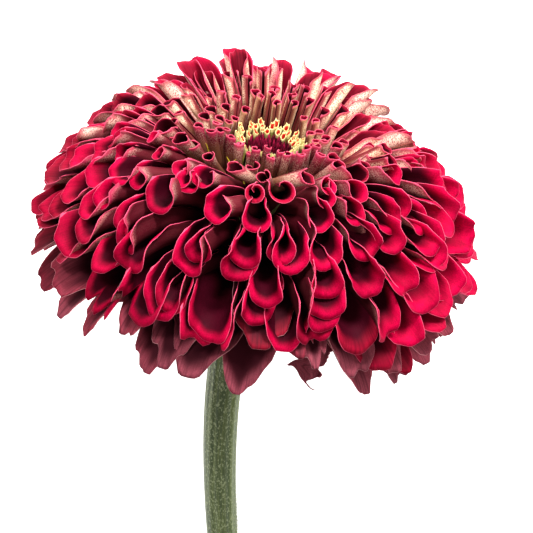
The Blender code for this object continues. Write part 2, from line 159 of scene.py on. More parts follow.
def room_between(ring, i, station):
    ordered = sorted(a % 360 for a in ring)
    a = ring[i] % 360
    k = ordered.index(a)
    left = (a - ordered[k - 1]) % 360
    right = (ordered[(k + 1) % len(ordered)] - a) % 360
    r = float(np.interp(station, DOME_STATION, DOME_RADIUS))
    return math.radians(min(left, right)) * r * 0.90 - GAP


# --------------------------------------------------------------------------
# one floret's blade
# --------------------------------------------------------------------------
class Blade:
    """Shape of one ray floret. A curved midline carries a section that is
    rolled up to a tube at the base and opens towards the tip. Past the knee
    the two margins bend back outwards, and the end flares out into a lip."""

    def __init__(self, row, i, seat, station, azimuth, room):
        g = lambda table: float(np.interp(station, ST, table))
        h = lambda salt: unevenness(row, i, salt)
        grown = min(1.0, max(0.0, (station - 0.25) / 0.15))
        self.seat, self.station, self.az = seat, station, math.radians(azimuth)
        self.width = g(FLAT_WIDTH) * (1 + 0.08 * h(1))
        self.roll0 = g(ROLL_BASE)
        tip = g(ROLL_TIP)
        self.rolls = [tip * (1 + (0.10 * h(2) + 0.08 * h(12)) * grown), tip * (1 + (0.10 * h(2) - 0.08 * h(12)) * grown)]
        self.knee = g(KNEE)
        f = g(REFLEX)
        self.reflex = [f * (1 + 0.35 * h(4)), f * (1 + 0.35 * h(14))]
        self.lip = g(LIP_LENGTH) * (1 + 0.2 * h(15))
        self.lip_angle = g(LIP_ANGLE) * (1 + 0.18 * h(5))
        self.round = g(ROUNDING)
        self.power = 2.3
        self.skew = 0.05 * h(16) * grown
        self.twist = 16 * h(6) * grown + 10 * h(6) * (1 - grown)
        self.bend = 2.0 * h(7)
        self.wave = 0.25 * min(1.0, max(0.0, (station - 0.3) / 0.3))
        self.wave_phase = 3.0 * h(8)
        self.raise_tip = 0.0
        self.out_tip = 0.0
        self.length = 1.0
        self.slope = 0.0            # degrees added to the direction of the tip
        self.start = 0.15           # where along the blade it begins to open
        self.thick = 0.30
        self.notches = []           # (across position, depth, width) of bites in the tip
        self.ragged = 0.010 + 0.014 * float(smooth((station - 0.80) / 0.08)) + 0.004 * h(45)
        self.rnd = 0.5 + 0.5 * h(9)
        if station < 0.34:
            loose = min(1.0, (0.40 - station) / 0.1) * min(1.0, station / 0.1)
            self.raise_tip += (0.9 + 0.8 * float(smooth((station - 0.15) / 0.1))) * h(40) * loose
            self.out_tip += 0.8 * h(41) * loose
            self.bend += 5.0 * h(42)
            self.skew = 0.05 * h(43)
            self.width *= 1 + 0.10 * h(44)
        if station < 0.17 and abs((azimuth + 180) % 360 - 180) < 75:
            self.width *= 0.86
            self.rnd = 0.5 + 0.9 * h(46)
            self.raise_tip += 0.9 * h(47)
            self.out_tip += 0.7 * h(48)
        away = (azimuth + 180) % 360 - 180
        self.far = float(smooth((abs(away) - (104 if away < 0 else 94)) / 14.0)) * float(smooth((station - 0.26) / 0.08)) * (1 - float(smooth((station - 0.50) / 0.1)))
        if self.far > 0:
            open_side = 0 if h(20) > 0 else 1
            e = self.far
            for k in (0, 1):
                want = (58 + 14 * h(21)) if k == open_side else (150 + 18 * h(22))
                ref = 0.15 if k == open_side else -0.15
                self.rolls[k] += (want - self.rolls[k]) * e
                self.reflex[k] += (ref - self.reflex[k]) * e
            self.start = 0.15 + 0.02 * e
            self.lip *= 1 - 0.3 * e
            self.lip_angle *= 1 - 0.55 * e
            self.round += 0.13 * e
            self.knee += (0.8 - self.knee) * e
            tall = max(0.0, 1 - abs(station - 0.39) / 0.19)
            self.raise_tip += (1.3 + 2.2 * h(27)) * e * tall ** 0.7
            self.width += 0.8 * e * tall
        signed = (azimuth + 180) % 360 - 180
        turn = abs(signed)
        wide = float(smooth((turn - 38) / 25.0)) * float(smooth((135 - turn) / 25.0))
        level = float(np.interp(station, *TIP_SLOPE))
        if level < 0:
            self.slope = -0.62 * level * wide * float(smooth((0.92 - station) / 0.12))
        if 0.3 < station < 0.52:                     # all are turned the same way round the bloom
            self.rolls[1] = min(173, self.rolls[1] + 14 * wide)
            self.rolls[0] -= 24 * wide
        # painted shade: inner skins on the left of the bloom and of the far florets are dimmed where less light falls;
        # a few outer ones are dimmed at random
        self.dull_and_shade = float(smooth((-signed - 48) / 34.0)) * float(smooth((station - 0.30) / 0.12)) * float(smooth((150 + signed) / 20.0))
        self.dull_and_shade = max(self.dull_and_shade * (0.8 + 0.2 * h(36)), 0.35 * max(0.0, h(31)) * float(smooth((station - 0.6) / 0.1)))
        self.dull_and_shade = max(self.dull_and_shade, (0.60 + 0.3 * h(35)) * self.far)
        self.open = float(smooth((turn - 34) / 22.0)) * float(smooth((station - 0.46) / 0.12)) * (1 - self.far)
        if self.open > 0:
            e = self.open
            for k in (0, 1):
                self.rolls[k] += ((46, 84)[k] + 18 * h(23 + k) - self.rolls[k]) * e
                self.reflex[k] += (0.25 + 0.2 * h(25 + k) - self.reflex[k]) * e
            self.roll0 += (125 - self.roll0) * e * 0.8
            self.lip_angle *= 1 - 0.6 * e
            self.lip *= 1 - 0.3 * e
            self.start *= 1 - 0.6 * e
            self.round += 0.05 * e
            facing = float(smooth((turn - 40) / 30.0)) * (1.0 if signed > 0 else float(smooth((station - 0.55) / 0.10)))
            self.twist += math.copysign(24 + 9 * h(29), signed) * e * facing
        front = 1 - float(smooth((turn - 62) / 34.0))
        # painted shade on the outer skins of front florets that face the camera, some darker at random
        self.dusk_shade_highlight = 1.25 * front * (1 - float(smooth((station - 0.20) / 0.10))) * (0.85 + 0.35 * h(33))
        self.dusk_shade_highlight = max(self.dusk_shade_highlight, 0.80 * front * (1 - float(smooth((station - 0.58) / 0.15))))
        self.dusk_shade_highlight = min(1.0, max(self.dusk_shade_highlight, 0.45 * max(0.0, h(34) - 0.1)))
        # painted highlight: small quills behind the eye get a negative value, which paints them pale
        behind = float(smooth((turn - 70) / 30.0))
        if station < 0.17:
            self.dusk_shade_highlight -= (0.7 if station < 0.09 else 0.35) * behind
        if 0.15 < station < 0.34:
            self.raise_tip -= 2.2 * behind * (1 - abs(station - 0.245) / 0.14)
            self.out_tip -= 0.8 * behind
        self.room = room
        self.nu, self.nv = (26, 21) if station > 0.30 else (16, 17)

    def midline(self, u):
        r0, z0 = cone_radius(self.seat) + GAP + 0.9, self.seat
        m = lift(self.az, self.station)
        r3 = m * float(np.interp(self.station, DOME_STATION, DOME_RADIUS)) + self.out_tip
        z3 = m * float(np.interp(self.station, DOME_STATION, DOME_HEIGHT)) + self.raise_tip
        r3, z3 = r0 + (r3 - r0) * self.length, z0 + (z3 - z0) * self.length
        reach = math.hypot(r3 - r0, z3 - z0)
        leave = math.radians(float(np.interp(self.station, LEAVE[0], LEAVE[1])))
        slope = math.radians(float(np.interp(self.station, *TIP_SLOPE)) + self.slope)
        a, b = 0.36 * reach, 0.34 * reach
        pts = np.array([(r0, z0), (r0 + a * math.cos(leave), z0 + a * math.sin(leave)),
                        (r3 - b * math.cos(slope), z3 - b * math.sin(slope)), (r3, z3)])
        v = 1.0 - u
        k = np.stack([v ** 3, 3 * v * v * u, 3 * v * u * u, u ** 3])
        d = np.stack([3 * v * v, 6 * v * u, 3 * u * u])
        p = k.T @ pts
        t = d.T @ (pts[1:] - pts[:-1])
        t /= np.linalg.norm(t, axis=1)[:, None]
        length = float(np.sum(np.linalg.norm(np.diff(p, axis=0), axis=1))) if len(u) > 20 else reach * 1.06
        return p, t, length

    def surface(self):
        ng, nf = 48, 96
        u = np.linspace(0, 1, ng)
        p, t, length = self.midline(u)
        vf = np.linspace(0, 1, nf // 2 + 1)
        open_ = smooth((u - self.start) / (1 - self.start)) ** 1.15
        width = 2.2 + (self.width - 2.2) * smooth(u / 0.60) ** 0.9
        grow = smooth((u - 0.38) / 0.62)
        sides = []
        for sign, tip, reflex in ((-1, self.rolls[0], self.reflex[0]), (1, self.rolls[1], self.reflex[1])):
            roll = np.radians(self.roll0 + (tip - self.roll0) * open_)
            knee = 1.0 + (self.knee - 1.0) * grow
            kk = knee[:, None]
            rise = np.minimum(vf[None, :] / kk, 1.0)
            back = np.clip((vf[None, :] - kk) / np.maximum(1 - kk, 1e-3), 0, 1)
            psi = roll[:, None] * (rise - (reflex * grow)[:, None] * back ** 1.25)
            ds = (width / 2)[:, None] / (len(vf) - 1)
            c, s = np.cos(psi), np.sin(psi)
            x = np.concatenate([np.zeros((ng, 1)), np.cumsum((c[:, 1:] + c[:, :-1]) / 2, axis=1)], axis=1) * ds
            y = np.concatenate([np.zeros((ng, 1)), np.cumsum((s[:, 1:] + s[:, :-1]) / 2, axis=1)], axis=1) * ds
            sides.append((sign * x, y, sign * psi))
        vs = np.linspace(-1, 1, self.nv)
        ts = np.linspace(0, 1, self.nu) ** 0.82
        out = np.zeros((self.nu, self.nv, 3))
        aux = np.zeros((self.nu, self.nv, 4))
        for j, v in enumerate(vs):
            x_all, y_all, psi_all = sides[0] if v < 0 else sides[1]
            k = abs(v) * (len(vf) - 1)
            k0 = int(min(len(vf) - 2, math.floor(k)))
            f = k - k0
            xj = x_all[:, k0] * (1 - f) + x_all[:, k0 + 1] * f
            yj = y_all[:, k0] * (1 - f) + y_all[:, k0 + 1] * f
            pj = psi_all[:, k0] * (1 - f) + psi_all[:, k0 + 1] * f
            end = 1.0 - self.round * abs(v) ** self.power + self.skew * v
            end += self.ragged * (math.sin(6.3 * v + 9 * self.rnd) + 0.6 * math.sin(13.1 * v + 23 * self.rnd))
            for pos, depth, wide in self.notches:
                end -= depth * math.exp(-((v - pos) / wide) ** 2)
            dist = ts * end * length                      # along the blade, mm
            start = end * length - self.lip
            x = np.clip((dist - start) / self.lip, 0, 1)
            om = math.radians(max(2.0, self.lip_angle)) * (1 - 0.7 * abs(v) ** 1.5)
            fwd = np.where(x > 0, start + self.lip * np.sin(om * x) / om, dist)
            off = np.where(x > 0, self.lip * (1 - np.cos(om * x)) / om, 0.0)
            uu = np.clip(fwd / length, 0, 1)
            g = lambda arr: np.interp(uu, u, arr)
            X, Y, psi = g(xj), g(yj), g(pj)
            wav = self.wave * np.sin(dist * 0.95 + self.wave_phase + 2.0 * v) * smooth((abs(v) - 0.35) / 0.65) * smooth(uu * 1.6 - 0.5)
            off = off + wav
            X = X + off * np.sin(psi)
            Y = Y - off * np.cos(psi)
            tau = math.radians(self.twist) * smooth(uu)
            Xr = X * np.cos(tau) - Y * np.sin(tau)
            Yr = X * np.sin(tau) + Y * np.cos(tau)
            az = self.az - math.radians(self.bend) * (1 - uu ** 2)
            pr, pz, tr, tz = g(p[:, 0]), g(p[:, 1]), g(t[:, 0]), g(t[:, 1])
            r = pr - Yr * tz
            z = pz + Yr * tr
            out[:, j, 0] = r * np.sin(az) + Xr * np.cos(az)
            out[:, j, 1] = -r * np.cos(az) + Xr * np.sin(az)
            out[:, j, 2] = z
            half = g(width) / 2
            aux[:, j, 0] = end * length - dist                            # to the tip, mm
            aux[:, j, 1] = np.minimum(half * (1 - abs(v)), end * length - dist)   # to the margin, mm
            aux[:, j, 2] = v * half                                       # across, mm
            aux[:, j, 3] = dist                                           # from the base, mm
        return out, aux

    def shell(self):
        """Closed shell: upper (inner) skin, lower (outer) skin and the rim."""
        mid, aux = self.surface()
        nu, nv = mid.shape[:2]
        du = np.gradient(mid, axis=0)
        dv = np.gradient(mid, axis=1)
        n = np.cross(du, dv)
        ln = np.linalg.norm(n, axis=2, keepdims=True)
        n = n / np.where(ln < 1e-9, 1, ln)
        # make n point to the inner (upper) side of the roll
        sgn = 1.0
        n = n * sgn
        edge = np.clip(aux[:, :, 1] / 0.5, 0, 1)
        h = self.thick * (0.55 + 0.45 * edge)[:, :, None] / 2
        top = (mid + n * h).reshape(-1, 3)
        low = (mid - n * h).reshape(-1, 3)
        verts = np.concatenate([top, low])
        idx = np.arange(nu * nv).reshape(nu, nv)
        a, b, c, d = idx[:-1, :-1], idx[1:, :-1], idx[1:, 1:], idx[:-1, 1:]
        up = np.stack([a, d, c, b], axis=-1).reshape(-1, 4)
        dn = np.stack([a, b, c, d], axis=-1).reshape(-1, 4) + nu * nv
        ring = np.concatenate([idx[0, :], idx[1:, -1], idx[-1, -2::-1], idx[-2:0:-1, 0]])
        nxt = np.roll(ring, -1)
        rim = np.stack([ring, ring + nu * nv, nxt + nu * nv, nxt], axis=-1)
        faces = np.concatenate([up, dn, rim])
        side = np.concatenate([np.ones(nu * nv), np.zeros(nu * nv)])
        ax = aux.reshape(-1, 4)
        ax = np.concatenate([ax, ax])
        return verts, faces, side, ax


# --------------------------------------------------------------------------
# meshes
# --------------------------------------------------------------------------
def make_mesh(name, parts, mat, bend_to_floor=True, world=False):
    """One object from closed parts: (verts, faces, {attribute: values})."""
    vs, fs, at, o = [], [], {}, 0
    for verts, faces, attrs in parts:
        vs.append(verts)
        fs.append(faces + o)
        for k, val in attrs.items():
            at.setdefault(k, []).append(val)
        o += len(verts)
    v = np.concatenate(vs)
    if not world:
        v = to_world(v)
    if bend_to_floor:
        v = settle(v)
    v = v * MM
    me = bpy.data.meshes.new(name)
    nf = sum(len(f) for f in fs)
    loops = np.concatenate([f.reshape(-1) for f in fs])
    sizes = np.concatenate([np.full(len(f), f.shape[1]) for f in fs])
    me.vertices.add(len(v))
    me.vertices.foreach_set("co", v.astype(np.float32).reshape(-1))
    me.loops.add(len(loops))
    me.loops.foreach_set("vertex_index", loops.astype(np.int32))
    me.polygons.add(nf)
    me.polygons.foreach_set("loop_start", np.concatenate([[0], np.cumsum(sizes)[:-1]]).astype(np.int32))
    me.update(calc_edges=True)
    for k, chunks in at.items():
        data = np.concatenate(chunks).astype(np.float32)
        if data.ndim == 1:
            me.attributes.new(k, "FLOAT", "POINT").data.foreach_set("value", data)
        else:
            me.attributes.new(k, "FLOAT_VECTOR", "POINT").data.foreach_set("vector", data.reshape(-1))
    me.materials.append(mat)
    me.shade_smooth()
    ob = bpy.data.objects.new(name, me)
    bpy.context.scene.collection.objects.link(ob)
    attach(ob, "root")
    return ob


def blade_part(blade):
    verts, faces, side, ax = blade.shell()
    n = len(verts)
    flow = np.stack([ax[:, 2], ax[:, 3], np.full(n, 37.0 * blade.rnd)], axis=1)
    # the throat-shade value sets how strongly painted shade darkens the inner skin, less for open and far florets
    return verts, faces, {"side": side, "tip": ax[:, 0], "edge": ax[:, 1], "flow": flow,
                          "rnd": np.full(n, blade.rnd), "throat_shade": np.full(n, (1.0 - blade.open * (0.50 if blade.az < 0 else 0.75)) * (1.0 - blade.far) * (1.0 - 0.6 * float(smooth((math.degrees(blade.az) - 14) / 30.0))) - 0.40 * blade.far),
                          "dull_and_shade": np.full(n, blade.dull_and_shade), "dusk_shade_highlight": np.full(n, blade.dusk_shade_highlight)}


# --------------------------------------------------------------------------
# materials
# --------------------------------------------------------------------------
class Nodes:
    def __init__(self, name):
        self.mat = bpy.data.materials.new(name)
        self.mat.use_nodes = True
        self.t = self.mat.node_tree
        self.bsdf = self.t.nodes["Principled BSDF"]

    def new(self, kind, **kw):
        n = self.t.nodes.new(kind)
        for k, v in kw.items():
            setattr(n, k, v)
        return n

    def link(self, a, b):
        self.t.links.new(a, b)

    def put(self, sock, value):
        if isinstance(value, (int, float)):
            sock.default_value = value
        elif isinstance(value, tuple):
            sock.default_value = value if len(value) == len(sock.default_value) else (*value, 1.0)
        else:
            self.link(value, sock)

    def attr(self, name):
        n = self.new("ShaderNodeAttribute", attribute_type="GEOMETRY", attribute_name=name)
        return n

    def math(self, op, a, b=0.0, clamp=False):
        n = self.new("ShaderNodeMath", operation=op, use_clamp=clamp)
        self.put(n.inputs[0], a)
        self.put(n.inputs[1], b)
        return n.outputs[0]

    def ramp(self, value, lo, hi, out0=0.0, out1=1.0):
        n = self.new("ShaderNodeMapRange", interpolation_type="SMOOTHSTEP")
        self.put(n.inputs["Value"], value)
        self.put(n.inputs["From Min"], lo)
        self.put(n.inputs["From Max"], hi)
        self.put(n.inputs["To Min"], out0)
        self.put(n.inputs["To Max"], out1)
        return n.outputs["Result"]

    def mix(self, fac, a, b):
        n = self.new("ShaderNodeMix", data_type="RGBA")
        self.put(n.inputs["Factor"], fac)
        self.put(n.inputs["A"], a)
        self.put(n.inputs["B"], b)
        return n.outputs["Result"]

    def noise(self, vector, scale, detail=2.0, rough=0.5, stretch=(1, 1, 1)):
        m = self.new("ShaderNodeMapping")
        m.inputs["Scale"].default_value = stretch
        self.link(vector, m.inputs["Vector"])
        n = self.new("ShaderNodeTexNoise", noise_dimensions="3D")
        self.link(m.outputs[0], n.inputs["Vector"])
        n.inputs["Scale"].default_value = scale
        n.inputs["Detail"].default_value = detail
        n.inputs["Roughness"].default_value = rough
        return n.outputs["Fac"]

    def bump(self, height, strength, distance):
        b = self.new("ShaderNodeBump")
        b.inputs["Strength"].default_value = strength
        b.inputs["Distance"].default_value = distance
        self.link(height, b.inputs["Height"])
        self.link(b.outputs[0], self.bsdf.inputs["Normal"])


# dim crimson, mostly painted shade for inner skins that face away from the light
DULL_SHADE_LIP = (0.30, 0.008, 0.030)
DULL_SHADE = (0.17, 0.0075, 0.020)


def petal_material(name, lip, inner, throat, outer, outer_speckle_highlight, outer_dark, margin,
                   speckle_highlight_amount=0.5, rough=0.58, margin_width=0.10, base_tint=None, reach=(0.8, 4.5, 8.5),
                   shade=(2.0, 7.5), veined=0.16, rounding_highlight_edge=(0.2, 1.4, 0.25), downy=0.12,
                   margin_fade_side_shade=None):
    m = Nodes(name)
    shaded_outer = tuple(c * 0.55 for c in outer_dark)
    side, tip, edge = m.attr("side").outputs["Fac"], m.attr("tip").outputs["Fac"], m.attr("edge").outputs["Fac"]
    # painted shade: distance into the blade, stretched where the throat shade is strong
    down_throat = m.math("MULTIPLY", tip, m.math("ADD", m.math("MULTIPLY", m.attr("throat_shade").outputs["Fac"], 3.6), 1.0))
    flow, rnd = m.attr("flow").outputs["Vector"], m.attr("rnd").outputs["Fac"]
    veins = m.noise(flow, 1.0, 2.0, 0.55, (2.6, 0.10, 1.0))
    blotch = m.noise(flow, 1.0, 2.0, 0.5, (0.35, 0.22, 1.0))
    speck = m.noise(flow, 1.0, 2.0, 0.6, (5.5, 4.0, 1.0))
    # inner skin: bright crimson at the lip, darkened inwards by painted shade that turns near black down the throat
    inside = m.mix(m.ramp(tip, reach[0], reach[1]), lip, inner)
    inside = m.mix(m.ramp(veins, 0.42, 0.70, 0.0, veined), inside, m.mix(0.5, inner, throat))
    grain = m.noise(flow, 1.0, 2.0, 0.6, (4.2, 3.2, 1.0))
    inside = m.mix(m.ramp(blotch, 0.44, 0.68, 0.0, 0.45), inside, m.mix(0.35, inner, throat))
    inside = m.mix(m.ramp(grain, 0.40, 0.66, 0.0, 0.38), inside, m.mix(0.45, inner, throat))
    # painted shade: the dimmed inner skin, from the lip down
    dull_shade_inside = m.mix(m.ramp(tip, 0.3, 2.2), DULL_SHADE_LIP, DULL_SHADE)
    dull_shade_inside = m.mix(m.ramp(veins, 0.40, 0.68, 0.0, 0.8), dull_shade_inside, m.mix(0.6, dull_shade_inside, throat))
    inside = m.mix(m.attr("dull_and_shade").outputs["Fac"], inside, dull_shade_inside)
    # painted shade: near black down the throat
    inside = m.mix(m.ramp(down_throat, reach[1] * 0.6, reach[2]), inside, throat)
    # outer skin
    # outer skin: pale specks, raised into painted highlights along the middle of each blade and kept off its margins to
    # round it
    pale = m.ramp(speck, 0.36, 0.62, 0.0, 1.0)
    pale = m.math("MULTIPLY", pale, m.ramp(blotch, 0.30, 0.62, 0.35, 1.0))
    pale = m.math("MULTIPLY", pale, m.ramp(edge, rounding_highlight_edge[0], rounding_highlight_edge[1], rounding_highlight_edge[2], 1.0))
    pale = m.math("MULTIPLY", pale, speckle_highlight_amount * 2.0, True)
    outside = m.mix(m.ramp(veins, 0.38, 0.66, 0.0, 0.8), outer, outer_dark)
    outside = m.mix(pale, outside, outer_speckle_highlight)
    tip = down_throat
    shade_highlight_amount = m.attr("dusk_shade_highlight").outputs["Fac"]
    # painted shade: dark crimson-maroon on the outer skin where the value is positive
    dusk_shade_highlight = m.math("MULTIPLY", shade_highlight_amount, m.ramp(speck, 0.42, 0.70, 1.0, 0.72), True)
    outside = m.mix(m.math("MULTIPLY", dusk_shade_highlight, m.ramp(tip, 0.2, 1.5, 0.7, 1.0)), outside, m.mix(m.ramp(tip, 1.0, 9.0), (0.40, 0.022, 0.080), (0.13, 0.006, 0.022)))
    # painted highlight: cream on the outer skin where the value is negative
    outside = m.mix(m.math("MULTIPLY", shade_highlight_amount, -1.0, True), outside, m.mix(pale, (0.46, 0.26, 0.13), (0.92, 0.70, 0.42)))
    # painted shade: the outer skin darkens towards the base; the quills take their own olive base colour there instead
    if base_tint:
        outside = m.mix(m.ramp(tip, shade[0], shade[1], 0.0, 0.9), outside, base_tint)
    else:
        outside = m.mix(m.ramp(tip, shade[0], shade[1], 0.0, 0.95), outside, shaded_outer)
    rim = m.ramp(edge, margin_width * 0.3, margin_width, 1.0, 0.0)
    # painted shade: the sides of the quills darken towards the margins to round them, and the margin line fades away
    # from the mouth
    if margin_fade_side_shade:
        outside = m.mix(m.math("MULTIPLY", m.ramp(edge, 0.20, 0.95, 0.75, 0.0), m.ramp(tip, 0.6, 2.5)), outside, tuple(c * 0.6 for c in outer_dark))
        rim = m.math("MULTIPLY", rim, m.ramp(tip, margin_fade_side_shade[0], margin_fade_side_shade[1], 1.0, 0.10))
    col = m.mix(side, outside, inside)
    col = m.mix(rim, col, margin)
    hsv = m.new("ShaderNodeHueSaturation")
    m.link(m.ramp(rnd, 0.0, 1.0, 0.88, 1.10), hsv.inputs["Value"])
    m.link(col, hsv.inputs["Color"])
    m.link(hsv.outputs[0], m.bsdf.inputs["Base Color"])
    m.put(m.bsdf.inputs["Roughness"], m.ramp(speck, 0.3, 0.7, rough - 0.06, rough + 0.09))
    down = m.math("MULTIPLY", m.ramp(tip, shade[0] * 0.4, shade[1] * 0.6, downy, 0.0), m.math("SUBTRACT", 1.0, side))
    m.put(m.bsdf.inputs["Sheen Weight"], m.math("MULTIPLY", down, m.math("SUBTRACT", 1.0, m.math("MULTIPLY", shade_highlight_amount, 0.45, True), True)))
    m.bsdf.inputs["Sheen Roughness"].default_value = 0.35
    m.bsdf.inputs["Sheen Tint"].default_value = (1.0, 0.74, 0.64, 1.0)
    m.bsdf.inputs["Specular IOR Level"].default_value = 0.05
    height = m.math("ADD", m.math("MULTIPLY", veins, 0.8), m.math("MULTIPLY", speck, 0.5))
    m.bump(height, 0.35, 0.00025)
    return m.mat


# the lip colour is the petal's own crimson; the next is crimson dimmed by painted shade, the third near-black painted
# shade down the throat
LIP = (0.55, 0.0016, 0.058)
CRIMSON_SHADE = (0.28, 0.0016, 0.026)
THROAT_SHADE = (0.048, 0.0024, 0.0095)
MARGIN = (0.68, 0.095, 0.175)

# in each material the second colour is crimson dimmed by painted shade and the third is painted shade down the throat
MAT_QUILL = petal_material("quilled_petal", (0.26, 0.005, 0.028), (0.09, 0.0020, 0.010), (0.035, 0.0010, 0.005),
                           (0.44, 0.105, 0.100), (1.0, 0.76, 0.54), (0.22, 0.022, 0.035), (0.60, 0.085, 0.15),
                           speckle_highlight_amount=1.0, base_tint=(0.17, 0.070, 0.040), reach=(0.2, 1.4, 2.6), shade=(9.0, 22.0),
                           rounding_highlight_edge=(0.25, 1.5, 0.0), downy=0.50, margin_fade_side_shade=(0.6, 2.6))
MAT_SPOON = petal_material("spoon_petal", LIP, CRIMSON_SHADE, THROAT_SHADE, (0.44, 0.085, 0.095), (0.90, 0.62, 0.49),
                           (0.22, 0.022, 0.038), MARGIN, speckle_highlight_amount=1.1, reach=(0.8, 5.0, 11.0), shade=(5.0, 15.0),
                           rounding_highlight_edge=(0.25, 1.8, 0.10), downy=0.26)
MAT_BROAD = petal_material("broad_petal", LIP, CRIMSON_SHADE, THROAT_SHADE, (0.30, 0.040, 0.058), (0.60, 0.30, 0.26),
                           (0.13, 0.010, 0.022), MARGIN, speckle_highlight_amount=0.55, reach=(0.8, 6.5, 15.0), shade=(3.0, 11.0))
MAT_GUARD = petal_material("guard_petal", (0.35, 0.080, 0.110), (0.250, 0.066, 0.086), (0.062, 0.012, 0.019),
                           (0.38, 0.12, 0.13), (0.52, 0.30, 0.27), (0.20, 0.042, 0.056), (0.60, 0.26, 0.28),
                           speckle_highlight_amount=0.35, reach=(0.5, 9.0, 26.0), shade=(8.0, 30.0), veined=0.9, downy=0.1)


def plain_material(name, c0, c1, scale, stretch=(1, 1, 1), rough=0.55, bump=0.3, distance=0.0002):
    m = Nodes(name)
    tc = m.new("ShaderNodeTexCoord").outputs["Object"]
    a = m.noise(tc, scale, 3.0, 0.6, stretch)
    m.link(m.mix(m.ramp(a, 0.35, 0.68), c0, c1), m.bsdf.inputs["Base Color"])
    m.put(m.bsdf.inputs["Roughness"], m.ramp(a, 0.3, 0.7, rough - 0.06, rough + 0.08))
    m.bsdf.inputs["Specular IOR Level"].default_value = 0.35
    m.bump(a, bump, distance)
    return m.mat
